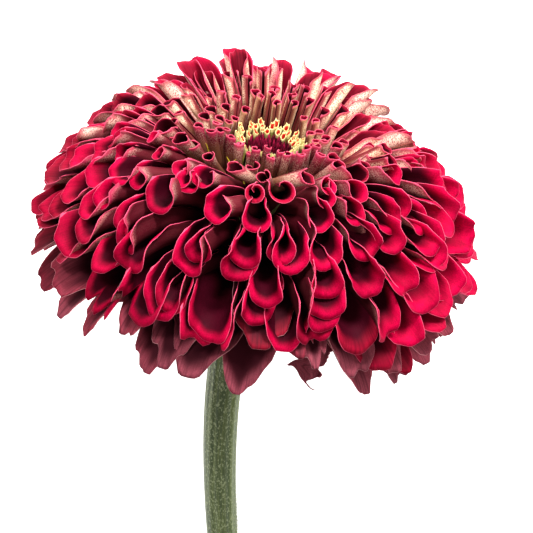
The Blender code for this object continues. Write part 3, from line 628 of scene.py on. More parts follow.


# --------------------------------------------------------------------------
# build the rows of florets
# --------------------------------------------------------------------------
# Florets that grew unlike the rest of their row. The key is the row's number
# and the floret's azimuth in it. s and az are its own station and azimuth, w
# its flat width, roll and back the half angle of the roll and the part of it
# that the margin bends back, on the left and on the right, sweep how far the
# base stands aside of the tip, turn the twist at the tip.
# in some entries the dimming value sets painted shade on the inner skin and the dusk value painted shade on the outer
# skin, or painted highlight when negative
TUNE = {
    # small rolled ones in front of the eye
    (4, -16): dict(s=0.30, az=-16, w=8.0, sweep=-30, roll=(168, 172), back=(0.0, -0.9), flare=18, dull_and_shade=0.6, dusk_shade_highlight=0.65),
    (4, 0): dict(s=0.285, az=1, w=8.2, roll=(166, 172), back=(0.0, -1.0), sweep=-10, up=-1.6, dull_and_shade=0.6, dusk_shade_highlight=0.9),
    (5, -8): dict(s=0.25, az=-6, w=7.0, slope=14),
    (5, 23): dict(s=0.305, az=24, w=9.5, roll=(160, 165), sweep=28, dull_and_shade=0.4, dusk_shade_highlight=0.75),
    (6, 11): dict(s=0.385, az=11, w=13.0, roll=(110, 158), back=(0.9, -0.8), dull_and_shade=0.7, dusk_shade_highlight=0.7),
    (6, 30): dict(s=0.35, az=31, w=11.0, roll=(160, 158)),
    (6, -22): dict(s=0.40, az=-22, w=11.0, roll=(120, 168), back=(0.3, -0.2), sweep=-14),
    (7, -1): dict(s=0.40, az=-1, w=10.5, roll=(158, 165), back=(0.6, -1.1), dull_and_shade=0.7, dusk_shade_highlight=0.5),
    (7, 25): dict(s=0.40, az=27, w=10.0, roll=(120, 130)),
    # the open mouths below them
    (8, 22): dict(s=0.475, az=23, w=13.0, roll=(120, 105), back=(0.5, 0.1)),
    (8, -24): dict(s=0.43, az=-26, w=11.0, roll=(100, 160)),
    (9, 2): dict(s=0.49, az=2, w=13.0, roll=(105, 135), back=(0.0, 1.0)),
    (9, -12): dict(s=0.49, az=-13, w=14.0, roll=(85, 170), back=(0.2, -0.1), sweep=-14, turn=-20),
    (10, -13): dict(s=0.605, az=-13, w=10.5, roll=(110, 160), back=(0.1, 0.0)),
    (11, -13): dict(s=0.645, az=-14, w=15.5, roll=(95, 110), back=(0.2, 0.0)),
    (10, -1): dict(s=0.59, az=-1, w=14.0, roll=(135, 110), back=(1.1, 0.1)),
    (11, -2): dict(s=0.625, az=-2, w=15.5, roll=(115, 110), back=(0.9, 0.1)),
    (10, 10): dict(s=0.565, az=10, w=14.0, roll=(130, 135), back=(1.1, 1.1)),
    (11, 11): dict(s=0.585, az=12, w=15.5, roll=(110, 115), back=(0.5, 0.6)),
    (10, 22): dict(s=0.575, az=22, w=16.0, roll=(100, 115), back=(0.5, 0.4)),
    (11, 23): dict(s=0.65, az=23, w=13.0, roll=(105, 115), back=(0.1, 0.3)),
    (12, 7): dict(s=0.68, az=7, w=13.0, roll=(100, 100), back=(0.0, 0.0)),
    (12, 21): dict(s=0.70, az=22, w=16.0, roll=(100, 105), back=(0.2, 0.2)),
    (13, 5): dict(s=0.73, az=6, w=14.0, roll=(90, 75), back=(0.0, 0.0), bites=((0.55, 0.10, 0.30),)),
    (13, 20): dict(s=0.73, az=22, w=16.0, roll=(95, 100), back=(0.0, 0.1)),
    (14, 24): dict(s=0.765, az=20, w=17.0, roll=(85, 90), back=(0.0, 0.1), bites=((0.05, 0.05, 0.12),)),
    (14, -5): dict(s=0.79, az=-5, w=17.0, roll=(92, 92), back=(0.1, 0.0)),
    (15, -5): dict(s=0.81, az=-5, w=19.0, roll=(85, 85), back=(0.0, 0.0), lip=2.4, flare=50, round=0.12, bites=((0.15, 0.07, 0.16),)),
    (14, 11): dict(s=0.785, az=12, w=14.0, roll=(60, 60), back=(0.0, 0.0), lip=1.5, flare=15),
    (13, -17): dict(s=0.745, az=-17, w=14.0, roll=(95, 100), back=(0.0, 0.1)),
    (14, -19): dict(s=0.77, az=-18, w=16.0, roll=(85, 95), back=(0.0, 0.1)),
    # flat ones along the bottom
    (16, 4): dict(s=0.935, az=4, w=14.0, roll=(15, 20), back=(0.0, 0.0), round=0.30, bites=((-0.7, 0.10, 0.25),)),
    (15, 9): dict(s=0.785, az=8, w=14.0, roll=(20, 20), back=(0.0, 0.0), dull_and_shade=0.9),
    (15, 21): dict(s=0.80, az=17, w=13.0, dull_and_shade=0.5, roll=(25, 20), back=(0.0, 0.0), bites=((-0.80, 0.20, 0.10), (-0.42, 0.09, 0.07), (-0.05, 0.04, 0.05), (0.35, 0.13, 0.08), (0.62, 0.06, 0.05), (0.9, 0.20, 0.10))),
    (16, 24): dict(s=0.83, az=22, w=9.0, roll=(20, 20), bites=((0.3, 0.1, 0.1),)),
    (16, -10): dict(s=0.905, az=-9, w=18.0, roll=(20, 25), back=(0.0, 0.0), round=0.34, bites=((-0.72, 0.14, 0.26), (0.45, 0.03, 0.12))),
    (16, -22): dict(s=0.90, az=-15, w=11.0, roll=(20, 20), back=(0.0, 0.0), bites=((-0.4, 0.07, 0.15),)),
    (15, -27): dict(s=0.95, az=-21, w=11.5, roll=(15, 25), back=(0.0, 0.0)),
    # left side
    (5, -82): dict(s=0.324, az=-85, w=9.0, roll=(150, 172), sweep=8),
    (5, -41): dict(s=0.307, az=-49, w=9.5, roll=(160, 170)),
    (6, -77): dict(s=0.393, az=-81, w=10.5, roll=(150, 170), sweep=8),
    (6, -58): dict(s=0.364, az=-59, w=9.0, roll=(165, 168)),
    (6, -35): dict(s=0.398, az=-33, w=11.0, roll=(155, 168), sweep=-10),
    (7, -63): dict(s=0.447, az=-73, w=9.5, roll=(140, 170)),
    (7, -47): dict(s=0.393, az=-47, w=10.5, roll=(160, 168), flare=30),
    (8, -57): dict(s=0.47, az=-59, w=11.5, roll=(150, 172), flare=30),
    (8, -40): dict(s=0.495, az=-42, w=12.0, roll=(100, 160), back=(0.1, -0.1), turn=12),
    (9, -31): dict(s=0.521, az=-30, w=15.0, roll=(85, 125), back=(0.1, 0.1), dull_and_shade=0.15),
    (9, -83): dict(s=0.565, az=-87, w=10.0, roll=(110, 165), dull_and_shade=0.1, turn=10),
    (10, -71): dict(s=0.592, az=-72, w=12.5, roll=(60, 120), dull_and_shade=0.25),
    (10, -45): dict(s=0.595, az=-48, w=12.0, roll=(100, 160), back=(0.2, 0.0), dull_and_shade=0.0),
    (10, -29): dict(s=0.616, az=-37, w=12.5, roll=(100, 140), back=(0.1, 0.3), dull_and_shade=0.1),
    (11, -36): dict(s=0.652, az=-33, w=15.0, roll=(95, 130), back=(0.1, 0.6), dull_and_shade=0.1),
    (11, -51): dict(s=0.643, az=-52, w=14.5, roll=(85, 125), back=(0.1, 0.3), dull_and_shade=0.25),
    (11, -65): dict(s=0.654, az=-63, w=14.0, roll=(80, 90), dull_and_shade=0.5),
    (12, -69): dict(s=0.634, az=-73, w=10.0, roll=(150, 160), dull_and_shade=0.9, turn=30, bites=((-0.4, 0.12, 0.2), (0.5, 0.2, 0.2))),
    (12, -84): dict(s=0.70, az=-84, w=19.0, roll=(40, 70), dull_and_shade=0.95, round=0.22),
    (12, -55): dict(s=0.708, az=-65, w=13.0, roll=(60, 90), dull_and_shade=0.8),
    (12, -43): dict(s=0.691, az=-47, w=12.0, roll=(80, 120), dull_and_shade=0.55),
    (13, -59): dict(s=0.75, az=-51, w=18.0, roll=(55, 80), back=(0.1, 0.0), dull_and_shade=0.35, round=0.12),
    (13, -47): dict(s=0.735, az=-37, w=13.0, roll=(60, 100), back=(0.0, 0.8), dull_and_shade=0.2, bites=((0.25, 0.22, 0.16), (0.7, 0.10, 0.1))),
    (13, -32): dict(s=0.803, az=-24, w=17.0, roll=(75, 95), dull_and_shade=0.1, bites=((-0.38, 0.17, 0.10), (-0.62, 0.05, 0.06))),
    (14, -66): dict(s=0.765, az=-70, w=12.0, roll=(50, 80), dull_and_shade=0.9),
    (14, -51): dict(s=0.776, az=-52, w=11.0, roll=(60, 100), dull_and_shade=0.6, turn=20),
    (14, -36): dict(s=0.843, az=-36, w=16.0, roll=(65, 85), dull_and_shade=0.35, bites=((-0.3, 0.09, 0.07), (0.1, 0.12, 0.10), (0.6, 0.10, 0.12))),
    (15, -60): dict(s=0.855, az=-52, w=15.0, roll=(40, 55), dull_and_shade=0.4),
    (15, -44): dict(s=0.935, az=-41, w=8.0, roll=(50, 60), dull_and_shade=0.5, bites=((0.2, 0.06, 0.15),)),
    (16, -41): dict(s=0.851, az=-27, w=14.0, roll=(35, 45), bites=((-0.5, 0.10, 0.12), (0.15, 0.05, 0.08))),
    (16, -85): dict(s=0.93, az=-87, w=11.0, roll=(40, 60), dull_and_shade=0.9),
    # right side
    (4, 66): dict(s=0.292, az=66, w=8.5, roll=(150, 172)),
    (5, 41): dict(s=0.345, az=37, w=10.5, roll=(140, 168)),
    (5, 58): dict(s=0.341, az=52, w=12.0, roll=(105, 168), back=(0.1, -0.1)),
    (5, 74): dict(s=0.358, az=79, w=12.5, roll=(100, 168), back=(0.1, 0.0)),
    (6, 49): dict(s=0.394, az=44, w=13.0, roll=(100, 150), back=(0.1, -0.1)),
    (6, 66): dict(s=0.393, az=70, w=14.0, roll=(90, 160), back=(0.1, -0.1)),
    (6, 82): dict(s=0.448, az=102, w=12.0, roll=(100, 168), back=(0.1, 0.0)),
    (6, 99): dict(s=0.464, az=113, w=12.0, roll=(70, 160)),
    (7, 39): dict(s=0.463, az=37, w=13.0, roll=(90, 140), back=(0.1, 0.1)),
    (7, 56): dict(s=0.486, az=56, w=15.0, roll=(75, 120), back=(0.1, 0.3)),
    (7, 72): dict(s=0.509, az=81, w=15.0, roll=(60, 110), back=(0.1, 0.4)),
    (8, 48): dict(s=0.505, az=50, w=14.0, roll=(75, 110)),
    (8, 63): dict(s=0.537, az=62, w=13.0, roll=(60, 120)),
    (8, 80): dict(s=0.523, az=83, w=15.0, roll=(50, 100)),
    (9, 33): dict(s=0.557, az=37, w=14.0, roll=(80, 115), back=(0.1, 0.2)),
    (9, 49): dict(s=0.559, az=46, w=14.0, roll=(75, 100)),
    (9, 66): dict(s=0.598, az=60, w=14.0, roll=(60, 90)),
    (9, 84): dict(s=0.573, az=78, w=15.0, roll=(50, 85)),
    (10, 38): dict(s=0.65, az=36, w=14.0, roll=(75, 110), back=(0.1, 0.3)),
    (10, 58): dict(s=0.634, az=61, w=15.0, roll=(55, 85)),
    (10, 76): dict(s=0.589, az=74, w=13.0, roll=(50, 90)),
    (11, 47): dict(s=0.663, az=47, w=14.0, roll=(60, 110)),
    (11, 62): dict(s=0.642, az=64, w=14.0, roll=(50, 90)),
    (11, 85): dict(s=0.662, az=83, w=15.0, roll=(45, 80)),
    (12, 35): dict(s=0.767, az=40, w=14.0, roll=(75, 100)),
    (12, 48): dict(s=0.725, az=52, w=18.0, roll=(60, 75)),
    (12, 66): dict(s=0.721, az=68, w=16.0, roll=(45, 70)),
    (12, 85): dict(s=0.681, az=86, w=15.0, roll=(40, 70)),
    (13, 36): dict(s=0.79, az=32, w=15.0, roll=(60, 70), dull_and_shade=0.8),
    (13, 53): dict(s=0.798, az=48, w=15.0, roll=(55, 80)),
    (13, 64): dict(s=0.757, az=62, w=15.0, roll=(50, 70)),
    (14, 41): dict(s=0.86, az=41, w=14.0, roll=(50, 60), dull_and_shade=0.8),
    (14, 53): dict(s=0.91, az=53, w=10.0, roll=(50, 60), dull_and_shade=0.9, turn=25),
    (14, 67): dict(s=0.79, az=59, w=14.0, roll=(45, 60), dull_and_shade=0.4),
}


CRIMSON_GUARDS = {(15, -5)}


def tune(blade, row, az):
    t = TUNE.get((row, az))
    if t is None:
        return blade
    blade.station = t.get("s", blade.station)
    blade.az = math.radians(t.get("az", az))
    blade.width = t.get("w", blade.width)
    blade.rolls = list(t.get("roll", blade.rolls))
    blade.reflex = list(t.get("back", blade.reflex))
    blade.roll0 = t.get("base", blade.roll0)
    blade.knee = t.get("knee", blade.knee)
    blade.bend = t.get("sweep", blade.bend)
    blade.twist = t.get("turn", blade.twist)
    blade.lip = t.get("lip", blade.lip)
    blade.lip_angle = t.get("flare", blade.lip_angle)
    blade.round = t.get("round", blade.round)
    blade.skew = t.get("skew", blade.skew)
    blade.slope = t.get("slope", blade.slope)
    blade.raise_tip = t.get("up", blade.raise_tip)
    blade.wave = t.get("wave", blade.wave)
    blade.start = t.get("start", blade.start)
    blade.notches = t.get("bites", blade.notches)
    blade.open = t.get("open", blade.open)
    blade.dull_and_shade = t.get("dull_and_shade", blade.dull_and_shade)
    blade.dusk_shade_highlight = t.get("dusk_shade_highlight", blade.dusk_shade_highlight)
    return blade


all_rows = ROWS + GUARD_ROWS
seats = np.linspace(FIRST_SEAT, LAST_SEAT, len(all_rows))
built = {}
for k, (name, station, spacing, upper) in enumerate(ROWS):
    ring = sorted(full_ring(upper, spacing))
    parts = []
    for i, az in enumerate(ring):
        s = station + 0.008 * unevenness(k, i)
        b = Blade(k, i, float(seats[k]), s, az, room_between(ring, i, station))
        tune(b, k + 1, az)
        parts.append(blade_part(b))
    mat = MAT_QUILL if name.startswith("quill") else (MAT_SPOON if name.startswith("spoon") else MAT_BROAD)
    ob = make_mesh(name + "_florets", parts, mat)
    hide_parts(name)
    built[name] = ob
for k, (name, station, spacing, upper) in enumerate(GUARD_ROWS):
    ring = full_ring(upper, spacing)
    row = len(ROWS) + k
    for i, az in enumerate(ring):
        s = station + 0.012 * unevenness(row, i)
        b = Blade(row, i, float(seats[row]), s, az, room_between(ring, i, station))
        tune(b, row + 1, az)
        node = f"{name}_{i + 1:02d}"
        ob = make_mesh(node + "_blade", [blade_part(b)], MAT_BROAD if (row + 1, az) in CRIMSON_GUARDS else MAT_GUARD)
        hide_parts(node)
        built[node] = ob



def torn_part():
    """The withered, torn end of a petal that hangs below the front."""
    rows = [(26.0, 13.5, 22.1), (28.8, 14.3, 22.5), (30.6, 14.7, 22.2), (32.1, 14.9, 22.8), (33.0, 15.2, 22.2),
            (34.2, 16.2, 22.05), (35.1, 16.1, 21.9), (35.7, 15.7, 21.6), (36.2, 14.5, 20.8), (36.6, 13.7, 20.2),
            (36.9, 14.2, 20.5), (37.5, 15.6, 21.5), (38.0, 16.3, 21.4), (38.5, 16.8, 21.0), (39.0, 17.3, 19.2),
            (39.4, 17.8, 18.5), (39.8, 18.1, 18.5), (40.3, 18.7, 19.05), (40.8, 19.3, 19.65), (41.2, 20.2, 20.7)]
    table = np.array(rows)
    t = np.linspace(table[0, 0], table[-1, 0], 60)
    left, right = np.interp(t, table[:, 0], table[:, 1]), np.interp(t, table[:, 0], table[:, 2])
    ragged = 0.14 * np.sin(t * 7.3) + 0.10 * np.sin(t * 17.1 + 1.0)
    ragged *= np.clip((39.2 - t) / 2.0, 0, 1)
    left, right = left + ragged, right - 0.8 * ragged
    vs = np.linspace(-1, 1, 19)
    mid = np.zeros((60, 19, 3))
    aux = np.zeros((60, 19, 4))
    for j, v in enumerate(vs):
        x = (left + right) / 2 + (right - left) / 2 * v
        fold = 0.9 * np.sin((x - 9.2) * 1.25 + 0.25 * t) + 0.5 * np.sin(x * 2.6 - 0.6 * t)
        mid[:, j] = np.stack([x - 0.9, -(30.5 + 0.35 * (t - 27.0)) - fold * 0.7, 27.1 - t + 0.10 * fold], axis=1)
        width = (right - left) / 2
        aux[:, j, 0] = 0.8 + (t[-1] - t) * 0.8
        aux[:, j, 1] = np.minimum(width * (1 - abs(v)), t[-1] - t)
        aux[:, j, 2] = v * 4.0
        aux[:, j, 3] = t
    n = np.cross(np.gradient(mid, axis=0), np.gradient(mid, axis=1))
    n /= np.maximum(np.linalg.norm(n, axis=2, keepdims=True), 1e-9)
    verts = np.concatenate([(mid + n * 0.11).reshape(-1, 3), (mid - n * 0.11).reshape(-1, 3)])
    nu, nv = 60, 19
    idx = np.arange(nu * nv).reshape(nu, nv)
    a, b, c, d = idx[:-1, :-1], idx[1:, :-1], idx[1:, 1:], idx[:-1, 1:]
    up = np.stack([a, b, c, d], axis=-1).reshape(-1, 4)
    dn = np.stack([a, d, c, b], axis=-1).reshape(-1, 4) + nu * nv
    ring = np.concatenate([idx[0, :], idx[1:, -1], idx[-1, -2::-1], idx[-2:0:-1, 0]])
    nxt = np.roll(ring, -1)
    rim = np.stack([ring, nxt, nxt + nu * nv, ring + nu * nv], axis=-1)
    k = len(verts)
    ax = np.concatenate([aux.reshape(-1, 4)] * 2)
    flow = np.stack([ax[:, 2], ax[:, 3], np.full(k, 11.0)], axis=1)
    return verts, np.concatenate([up, dn, rim]), {"side": np.ones(k), "tip": ax[:, 0], "edge": ax[:, 1], "flow": flow,
                                                  "rnd": np.full(k, 0.3), "throat_shade": np.zeros(k), "dull_and_shade": np.zeros(k), "dusk_shade_highlight": np.zeros(k)}


torn = make_mesh("torn_petal_end", [torn_part()], MAT_GUARD)

# --------------------------------------------------------------------------
# stem
# --------------------------------------------------------------------------
def stem_route(n):
    axis = Vector(HM[:3, 2])
    start = Vector(to_world(np.array([[0.0, 0.0, CONE[-1][1] - GAP]]))[0])
    end = Vector((start.x - 2.3, start.y - STEM_LENGTH * 0.957, STEM_END_RADIUS - 0.20))
    p1 = start - axis * 42.0 + Vector((-3.2, 0.0, 0.0))
    p2 = end + Vector((-0.6, 44.0, 8.5))
    pts = []
    for k in range(n + 1):
        t = k / n
        v = 1 - t
        pts.append(start * v ** 3 + p1 * 3 * v * v * t + p2 * 3 * v * t * t + end * t ** 3)
    return pts


def build_stem():
    n, sides = 150, 96
    pts = stem_route(n)
    verts, along, around = [], [], []
    for k, p in enumerate(pts):
        d = (pts[min(k + 1, n)] - pts[max(k - 1, 0)]).normalized()
        x = d.cross(Vector((0, 0, 1))).normalized()
        y = x.cross(d).normalized()
        t = k / n
        radius = STEM_TOP_RADIUS + (STEM_END_RADIUS - STEM_TOP_RADIUS) * t
        for j in range(sides):
            a = 2 * math.pi * j / sides
            rib = 0.075 * math.cos(13 * a + 0.5 * math.sin(3 * t)) + 0.05 * math.cos(7 * a + 1.3) + 0.03 * math.sin(5 * a + 9 * t)
            r = radius - 0.12 + rib
            q = p + x * r * math.cos(a) + y * r * math.sin(a)
            verts.append(q)
            along.append(t * STEM_LENGTH)
            around.append(a)
    verts = [tuple(v) for v in verts]
    faces = []
    for k in range(n):
        for j in range(sides):
            jj = (j + 1) % sides
            a, b = k * sides, (k + 1) * sides
            faces.append((a + j, a + jj, b + jj, b + j))
    v = np.array(verts)
    # end faces as fans round a centre point, dished a little at the cut end
    c0, c1 = np.array(pts[0]), np.array(pts[-1]) + np.array((0, 0.5, 0.05))
    v = np.concatenate([v, [c0, c1]])
    i0, i1 = len(v) - 2, len(v) - 1
    tri = []
    for j in range(sides):
        jj = (j + 1) % sides
        tri.append((i0, jj, j))
        tri.append((i1, n * sides + j, n * sides + jj))
    al = np.array(along + [0.0, STEM_LENGTH])
    ar = np.array(around + [0.0, 0.0])
    cut = np.zeros(len(v))
    cut[i1] = 1.0
    flow = np.stack([np.cos(ar) * 4.0, np.sin(ar) * 4.0, al], axis=1)
    v[:, 2] = np.maximum(v[:, 2], 0.02)
    quads, tris = np.array(faces), np.array(tri)
    me = bpy.data.meshes.new("stem_skin")
    me.from_pydata([tuple(q * MM) for q in v], [], [tuple(int(i) for i in f) for f in quads] + [tuple(int(i) for i in f) for f in tris])
    me.attributes.new("flow", "FLOAT_VECTOR", "POINT").data.foreach_set("vector", flow.astype(np.float32).reshape(-1))
    me.attributes.new("cut", "FLOAT", "POINT").data.foreach_set("value", cut.astype(np.float32))
    m = Nodes("stem_skin")
    fl = m.attr("flow").outputs["Vector"]
    streak = m.noise(fl, 1.0, 3.0, 0.6, (1.3, 1.3, 0.05))
    fleck = m.noise(fl, 1.0, 2.0, 0.6, (2.2, 2.2, 1.2))
    col = m.mix(m.ramp(streak, 0.36, 0.66), (0.064, 0.088, 0.038), (0.150, 0.182, 0.070))
    col = m.mix(m.ramp(fleck, 0.50, 0.64, 0.0, 0.55), col, (0.42, 0.46, 0.27))
    lower = m.new("ShaderNodeSeparateXYZ")
    m.link(fl, lower.inputs[0])
    # painted highlight: lighter yellow-green along one side of the stem, growing towards its lower end
    col = m.mix(m.math("MULTIPLY", m.ramp(lower.outputs["Z"], 60.0, 125.0, 0.15, 0.80), m.ramp(lower.outputs["X"], -3.3, -0.8, 1.0, 0.0)), col, (0.25, 0.35, 0.06))
    col = m.mix(m.attr("cut").outputs["Fac"], col, (0.46, 0.52, 0.26))
    m.link(col, m.bsdf.inputs["Base Color"])
    m.put(m.bsdf.inputs["Roughness"], m.ramp(fleck, 0.3, 0.7, 0.45, 0.62))
    m.bsdf.inputs["Sheen Weight"].default_value = 0.08
    m.bsdf.inputs["Specular IOR Level"].default_value = 0.4
    m.bump(m.math("ADD", m.math("MULTIPLY", streak, 1.0), m.math("MULTIPLY", fleck, 0.5)), 0.5, 0.0003)
    me.materials.append(m.mat)
    me.shade_smooth()
    me.set_sharp_from_angle(angle=math.radians(50))
    ob = bpy.data.objects.new("stem_skin", me)
    bpy.context.scene.collection.objects.link(ob)
    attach(ob, "root")
    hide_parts("stem")
    return ob


def build_stem_hairs():
    """Short stiff hairs all along the stem."""
    pts = [np.array(p) for p in stem_route(150)]
    verts, faces = [], []
    for i in range(3600):
        t = (i * 0.6180339887) % 1.0
        a = i * 2.399963
        k = t * 149
        k0 = int(k)
        p = pts[k0] + (pts[k0 + 1] - pts[k0]) * (k - k0)
        d = pts[k0 + 1] - pts[k0]
        d /= np.linalg.norm(d)
        x = np.cross(d, (0, 0, 1))
        x /= np.linalg.norm(x)
        y = np.cross(x, d)
        radius = STEM_TOP_RADIUS + (STEM_END_RADIUS - STEM_TOP_RADIUS) * t - 0.22
        out = x * math.cos(a) + y * math.sin(a)
        aside = -x * math.sin(a) + y * math.cos(a)
        root = p + out * radius
        lean = out + d * (0.45 + 0.5 * unevenness(71, i)) + aside * 0.5 * unevenness(72, i)
        tip = root + lean / np.linalg.norm(lean) * (0.75 + 0.30 * unevenness(73, i))
        if tip[2] < 0.05:
            continue
        w = 0.045
        o = len(verts)
        verts += [root + aside * w, root - aside * w * 0.5 + d * w, root - aside * w * 0.5 - d * w, tip]
        faces += [(o, o + 1, o + 3), (o + 1, o + 2, o + 3), (o + 2, o, o + 3), (o + 2, o + 1, o)]
    me = bpy.data.meshes.new("stem_hairs")
    me.from_pydata([tuple(q * MM) for q in verts], [], faces)
    m = Nodes("stem_hair")
    tc = m.new("ShaderNodeTexCoord").outputs["Object"]
    a = m.noise(tc, 900, 2.0, 0.5)
    m.link(m.mix(m.ramp(a, 0.35, 0.65), (0.34, 0.40, 0.22), (0.62, 0.66, 0.46)), m.bsdf.inputs["Base Color"])
    m.put(m.bsdf.inputs["Roughness"], 0.6)
    me.materials.append(m.mat)
    ob = bpy.data.objects.new("stem_hairs", me)
    bpy.context.scene.collection.objects.link(ob)
    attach(ob, "root")


build_stem()
build_stem_hairs()

def sweep(points, radii, sides, flat=1.0, across=None):
    """Closed rod along points, pointed or round by its radii."""
    points = [np.array(p, float) for p in points]
    verts, faces = [], []
    n = len(points)
    for k, p in enumerate(points):
        d = points[min(k + 1, n - 1)] - points[max(k - 1, 0)]
        d /= np.linalg.norm(d)
        x = np.cross(d, across if across is not None else (0.31, 0.87, 0.38))
        x /= np.linalg.norm(x)
        y = np.cross(d, x)
        for j in range(sides):
            a = 2 * math.pi * j / sides
            verts.append(p + (x * math.cos(a) + y * math.sin(a) * flat) * radii[k])
    for k in range(n - 1):
        for j in range(sides):
            jj = (j + 1) % sides
            faces.append((k * sides + j, k * sides + jj, (k + 1) * sides + jj, (k + 1) * sides + j))
    c0, c1 = len(verts), len(verts) + 1
    verts += [points[0], points[-1]]
    for j in range(sides):
        jj = (j + 1) % sides
        faces.append((c0, jj, j, j))
        faces.append((c1, (n - 1) * sides + j, (n - 1) * sides + jj, (n - 1) * sides + jj))
    return np.array(verts), faces


def raw_object(name, parts, mat, replaces, angle=40):
    """One object from (verts, faces, values): values are a number per vertex."""
    vs, fs, val, o = [], [], [], 0
    for verts, faces, values in parts:
        vs.append(verts)
        fs += [tuple(dict.fromkeys(int(i) + o for i in f)) for f in faces]
        val.append(values)
        o += len(verts)
    v = settle(to_world(np.concatenate(vs))) * MM
    me = bpy.data.meshes.new(name)
    me.from_pydata([tuple(p) for p in v], [], fs)
    me.attributes.new("grow", "FLOAT", "POINT").data.foreach_set("value", np.concatenate(val).astype(np.float32))
    me.materials.append(mat)
    me.shade_smooth()
    me.set_sharp_from_angle(angle=math.radians(angle))
    ob = bpy.data.objects.new(name, me)
    bpy.context.scene.collection.objects.link(ob)
    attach(ob, "root")
    if replaces:
        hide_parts(replaces)
    return ob


def grown_material(name, stops, rough=0.5, speck=(0.0, (0, 0, 0)), scale=1800):
    """Colour by the attribute grow: stops are (place, colour)."""
    m = Nodes(name)
    grow = m.attr("grow").outputs["Fac"]
    tc = m.new("ShaderNodeTexCoord").outputs["Object"]
    a = m.noise(tc, scale, 2.0, 0.6)
    g = m.math("ADD", grow, m.ramp(a, 0.3, 0.7, -0.07, 0.07))
    col = stops[0][1]
    for (p0, _), (p1, c1) in zip(stops[:-1], stops[1:]):
        col = m.mix(m.ramp(g, p0, p1), col, c1)
    if speck[0]:
        col = m.mix(m.ramp(a, 0.5, 0.7, 0.0, speck[0]), col, speck[1])
    m.link(col, m.bsdf.inputs["Base Color"])
    m.put(m.bsdf.inputs["Roughness"], m.ramp(a, 0.3, 0.7, rough - 0.07, rough + 0.08))
    m.bsdf.inputs["Specular IOR Level"].default_value = 0.3
    m.bump(a, 0.3, 0.0001)
    return m.mat


EYE_BASE = 20.1

# bristly chaff in the middle of the eye
parts = []
COUNT = 240
for i in range(COUNT):
    r = 5.5 * math.sqrt((i + 0.4) / COUNT)
    a = i * 2.399963 + 0.25 * unevenness(31, i)
    h = 4.9 + 0.5 * unevenness(32, i) - 0.035 * r * r + (0.9 if r > 4.2 else 0.0)
    lean = 0.10 * unevenness(33, i)
    c, sn = math.cos(a), math.sin(a)
    out = 0.05 * r + lean
    base = np.array((r * c, r * sn, EYE_BASE - 0.2))
    pts = [base + np.array((c * out * t * t * 2.2 - sn * lean * t * 1.6, sn * out * t * t * 2.2 + c * lean * t * 1.6, h * t)) for t in (0, 0.45, 0.75, 0.92, 1.0)]
    v, f = sweep(pts, (0.20, 0.26, 0.30, 0.16, 0.02), 6, 0.35, across=(c, sn, 0.1))
    g = np.repeat([0, 0.45, 0.75, 0.92, 1.0], 6)
    parts.append((v, f, np.concatenate([g, [0, 1.0]]) + 0.12 * unevenness(34, i)))
raw_object("eye_paleae", parts, grown_material("palea", [(0.3, (0.02, 0.001, 0.004)), (0.80, (0.10, 0.003, 0.018)), (1.02, (0.36, 0.010, 0.060))], 0.5),
           "paleae_tuft")


def disc_floret(x, y, z0, z1, lean, out, size, seed, slant):
    """Cream yellow tube with five short lobes round a red mouth that leans in."""
    c, sn = math.cos(out), math.sin(out)
    sides, verts, faces, val = 15, [], [], []
    rings = [(0.00, 0.34, 0.0), (0.35, 0.40, 0.25), (0.65, 0.50, 0.5), (0.82, 0.68, 0.62), (0.94, 0.80, 0.72), (1.00, 0.80, 0.80),
             (1.00, 0.66, 0.86), (0.97, 0.54, 0.97), (0.90, 0.46, 1.05), (0.76, 0.26, 1.1)]
    for t, rad, g in rings:
        bend = lean * t * t
        cx, cy, cz = x + c * bend, y + sn * bend, z0 + (z1 - z0) * t
        for j in range(sides):
            a = 2 * math.pi * j / sides + seed
            lobe = 1.0 + (0.15 * math.cos(5 * 2 * math.pi * j / sides) if rad > 0.6 and t > 0.9 else 0.0)
            rr = size * rad * lobe
            dz = (0.16 * math.cos(5 * 2 * math.pi * j / sides) if t > 0.96 and rad > 0.6 else 0.0)
            dz += slant * rr * math.cos(a - out) * min(1.0, max(0.0, (t - 0.5) / 0.4))
            verts.append((cx + rr * math.cos(a), cy + rr * math.sin(a), cz + dz))
            val.append(g)
    n = len(rings)
    for k in range(n - 1):
        for j in range(sides):
            jj = (j + 1) % sides
            faces.append((k * sides + j, k * sides + jj, (k + 1) * sides + jj, (k + 1) * sides + j))
    c0, c1 = len(verts), len(verts) + 1
    verts += [(x, y, z0), (x + c * lean * 0.55, y + sn * lean * 0.55, z0 + (z1 - z0) * 0.72)]
    val += [0.0, 1.1]
    for j in range(sides):
        jj = (j + 1) % sides
        faces.append((c0, jj, j, j))
        faces.append((c1, (n - 1) * sides + j, (n - 1) * sides + jj, (n - 1) * sides + jj))
    return np.array(verts), faces, np.array(val)


parts = []
for ring, (r, count, top) in enumerate(((5.8, 19, 25.4), (6.9, 22, 26.0), (8.0, 16, 26.6))):
    for i in range(count):
        a = 2 * math.pi * (i + 0.5 * ring) / count + 0.10 * unevenness(41 + ring, i)
        far = 0.5 + 0.5 * math.sin(a)                  # +Y in the head is the far side
        if ring == 2 and far < 0.45:
            continue
        rr = r + 0.45 * unevenness(45 + ring, i)
        z1 = top + 0.45 * unevenness(51 + ring, i) - 0.9 * (1 - far)
        parts.append(disc_floret(rr * math.cos(a), rr * math.sin(a), EYE_BASE - 0.4, z1, -0.35, a + 0.5 * unevenness(55 + ring, i),
                                 0.70 + 0.16 * unevenness(57 + ring, i), 0.7 * unevenness(59 + ring, i), 1.0 + 0.3 * unevenness(63 + ring, i)))
raw_object("eye_florets", parts, grown_material("disc_floret", [(0.1, (0.14, 0.15, 0.03)), (0.50, (0.46, 0.43, 0.10)), (0.78, (0.90, 0.84, 0.42)),
           (0.88, (0.88, 0.66, 0.28)), (0.96, (0.76, 0.10, 0.05)), (1.06, (0.42, 0.02, 0.012))], 0.45, scale=1500), "disc_florets")

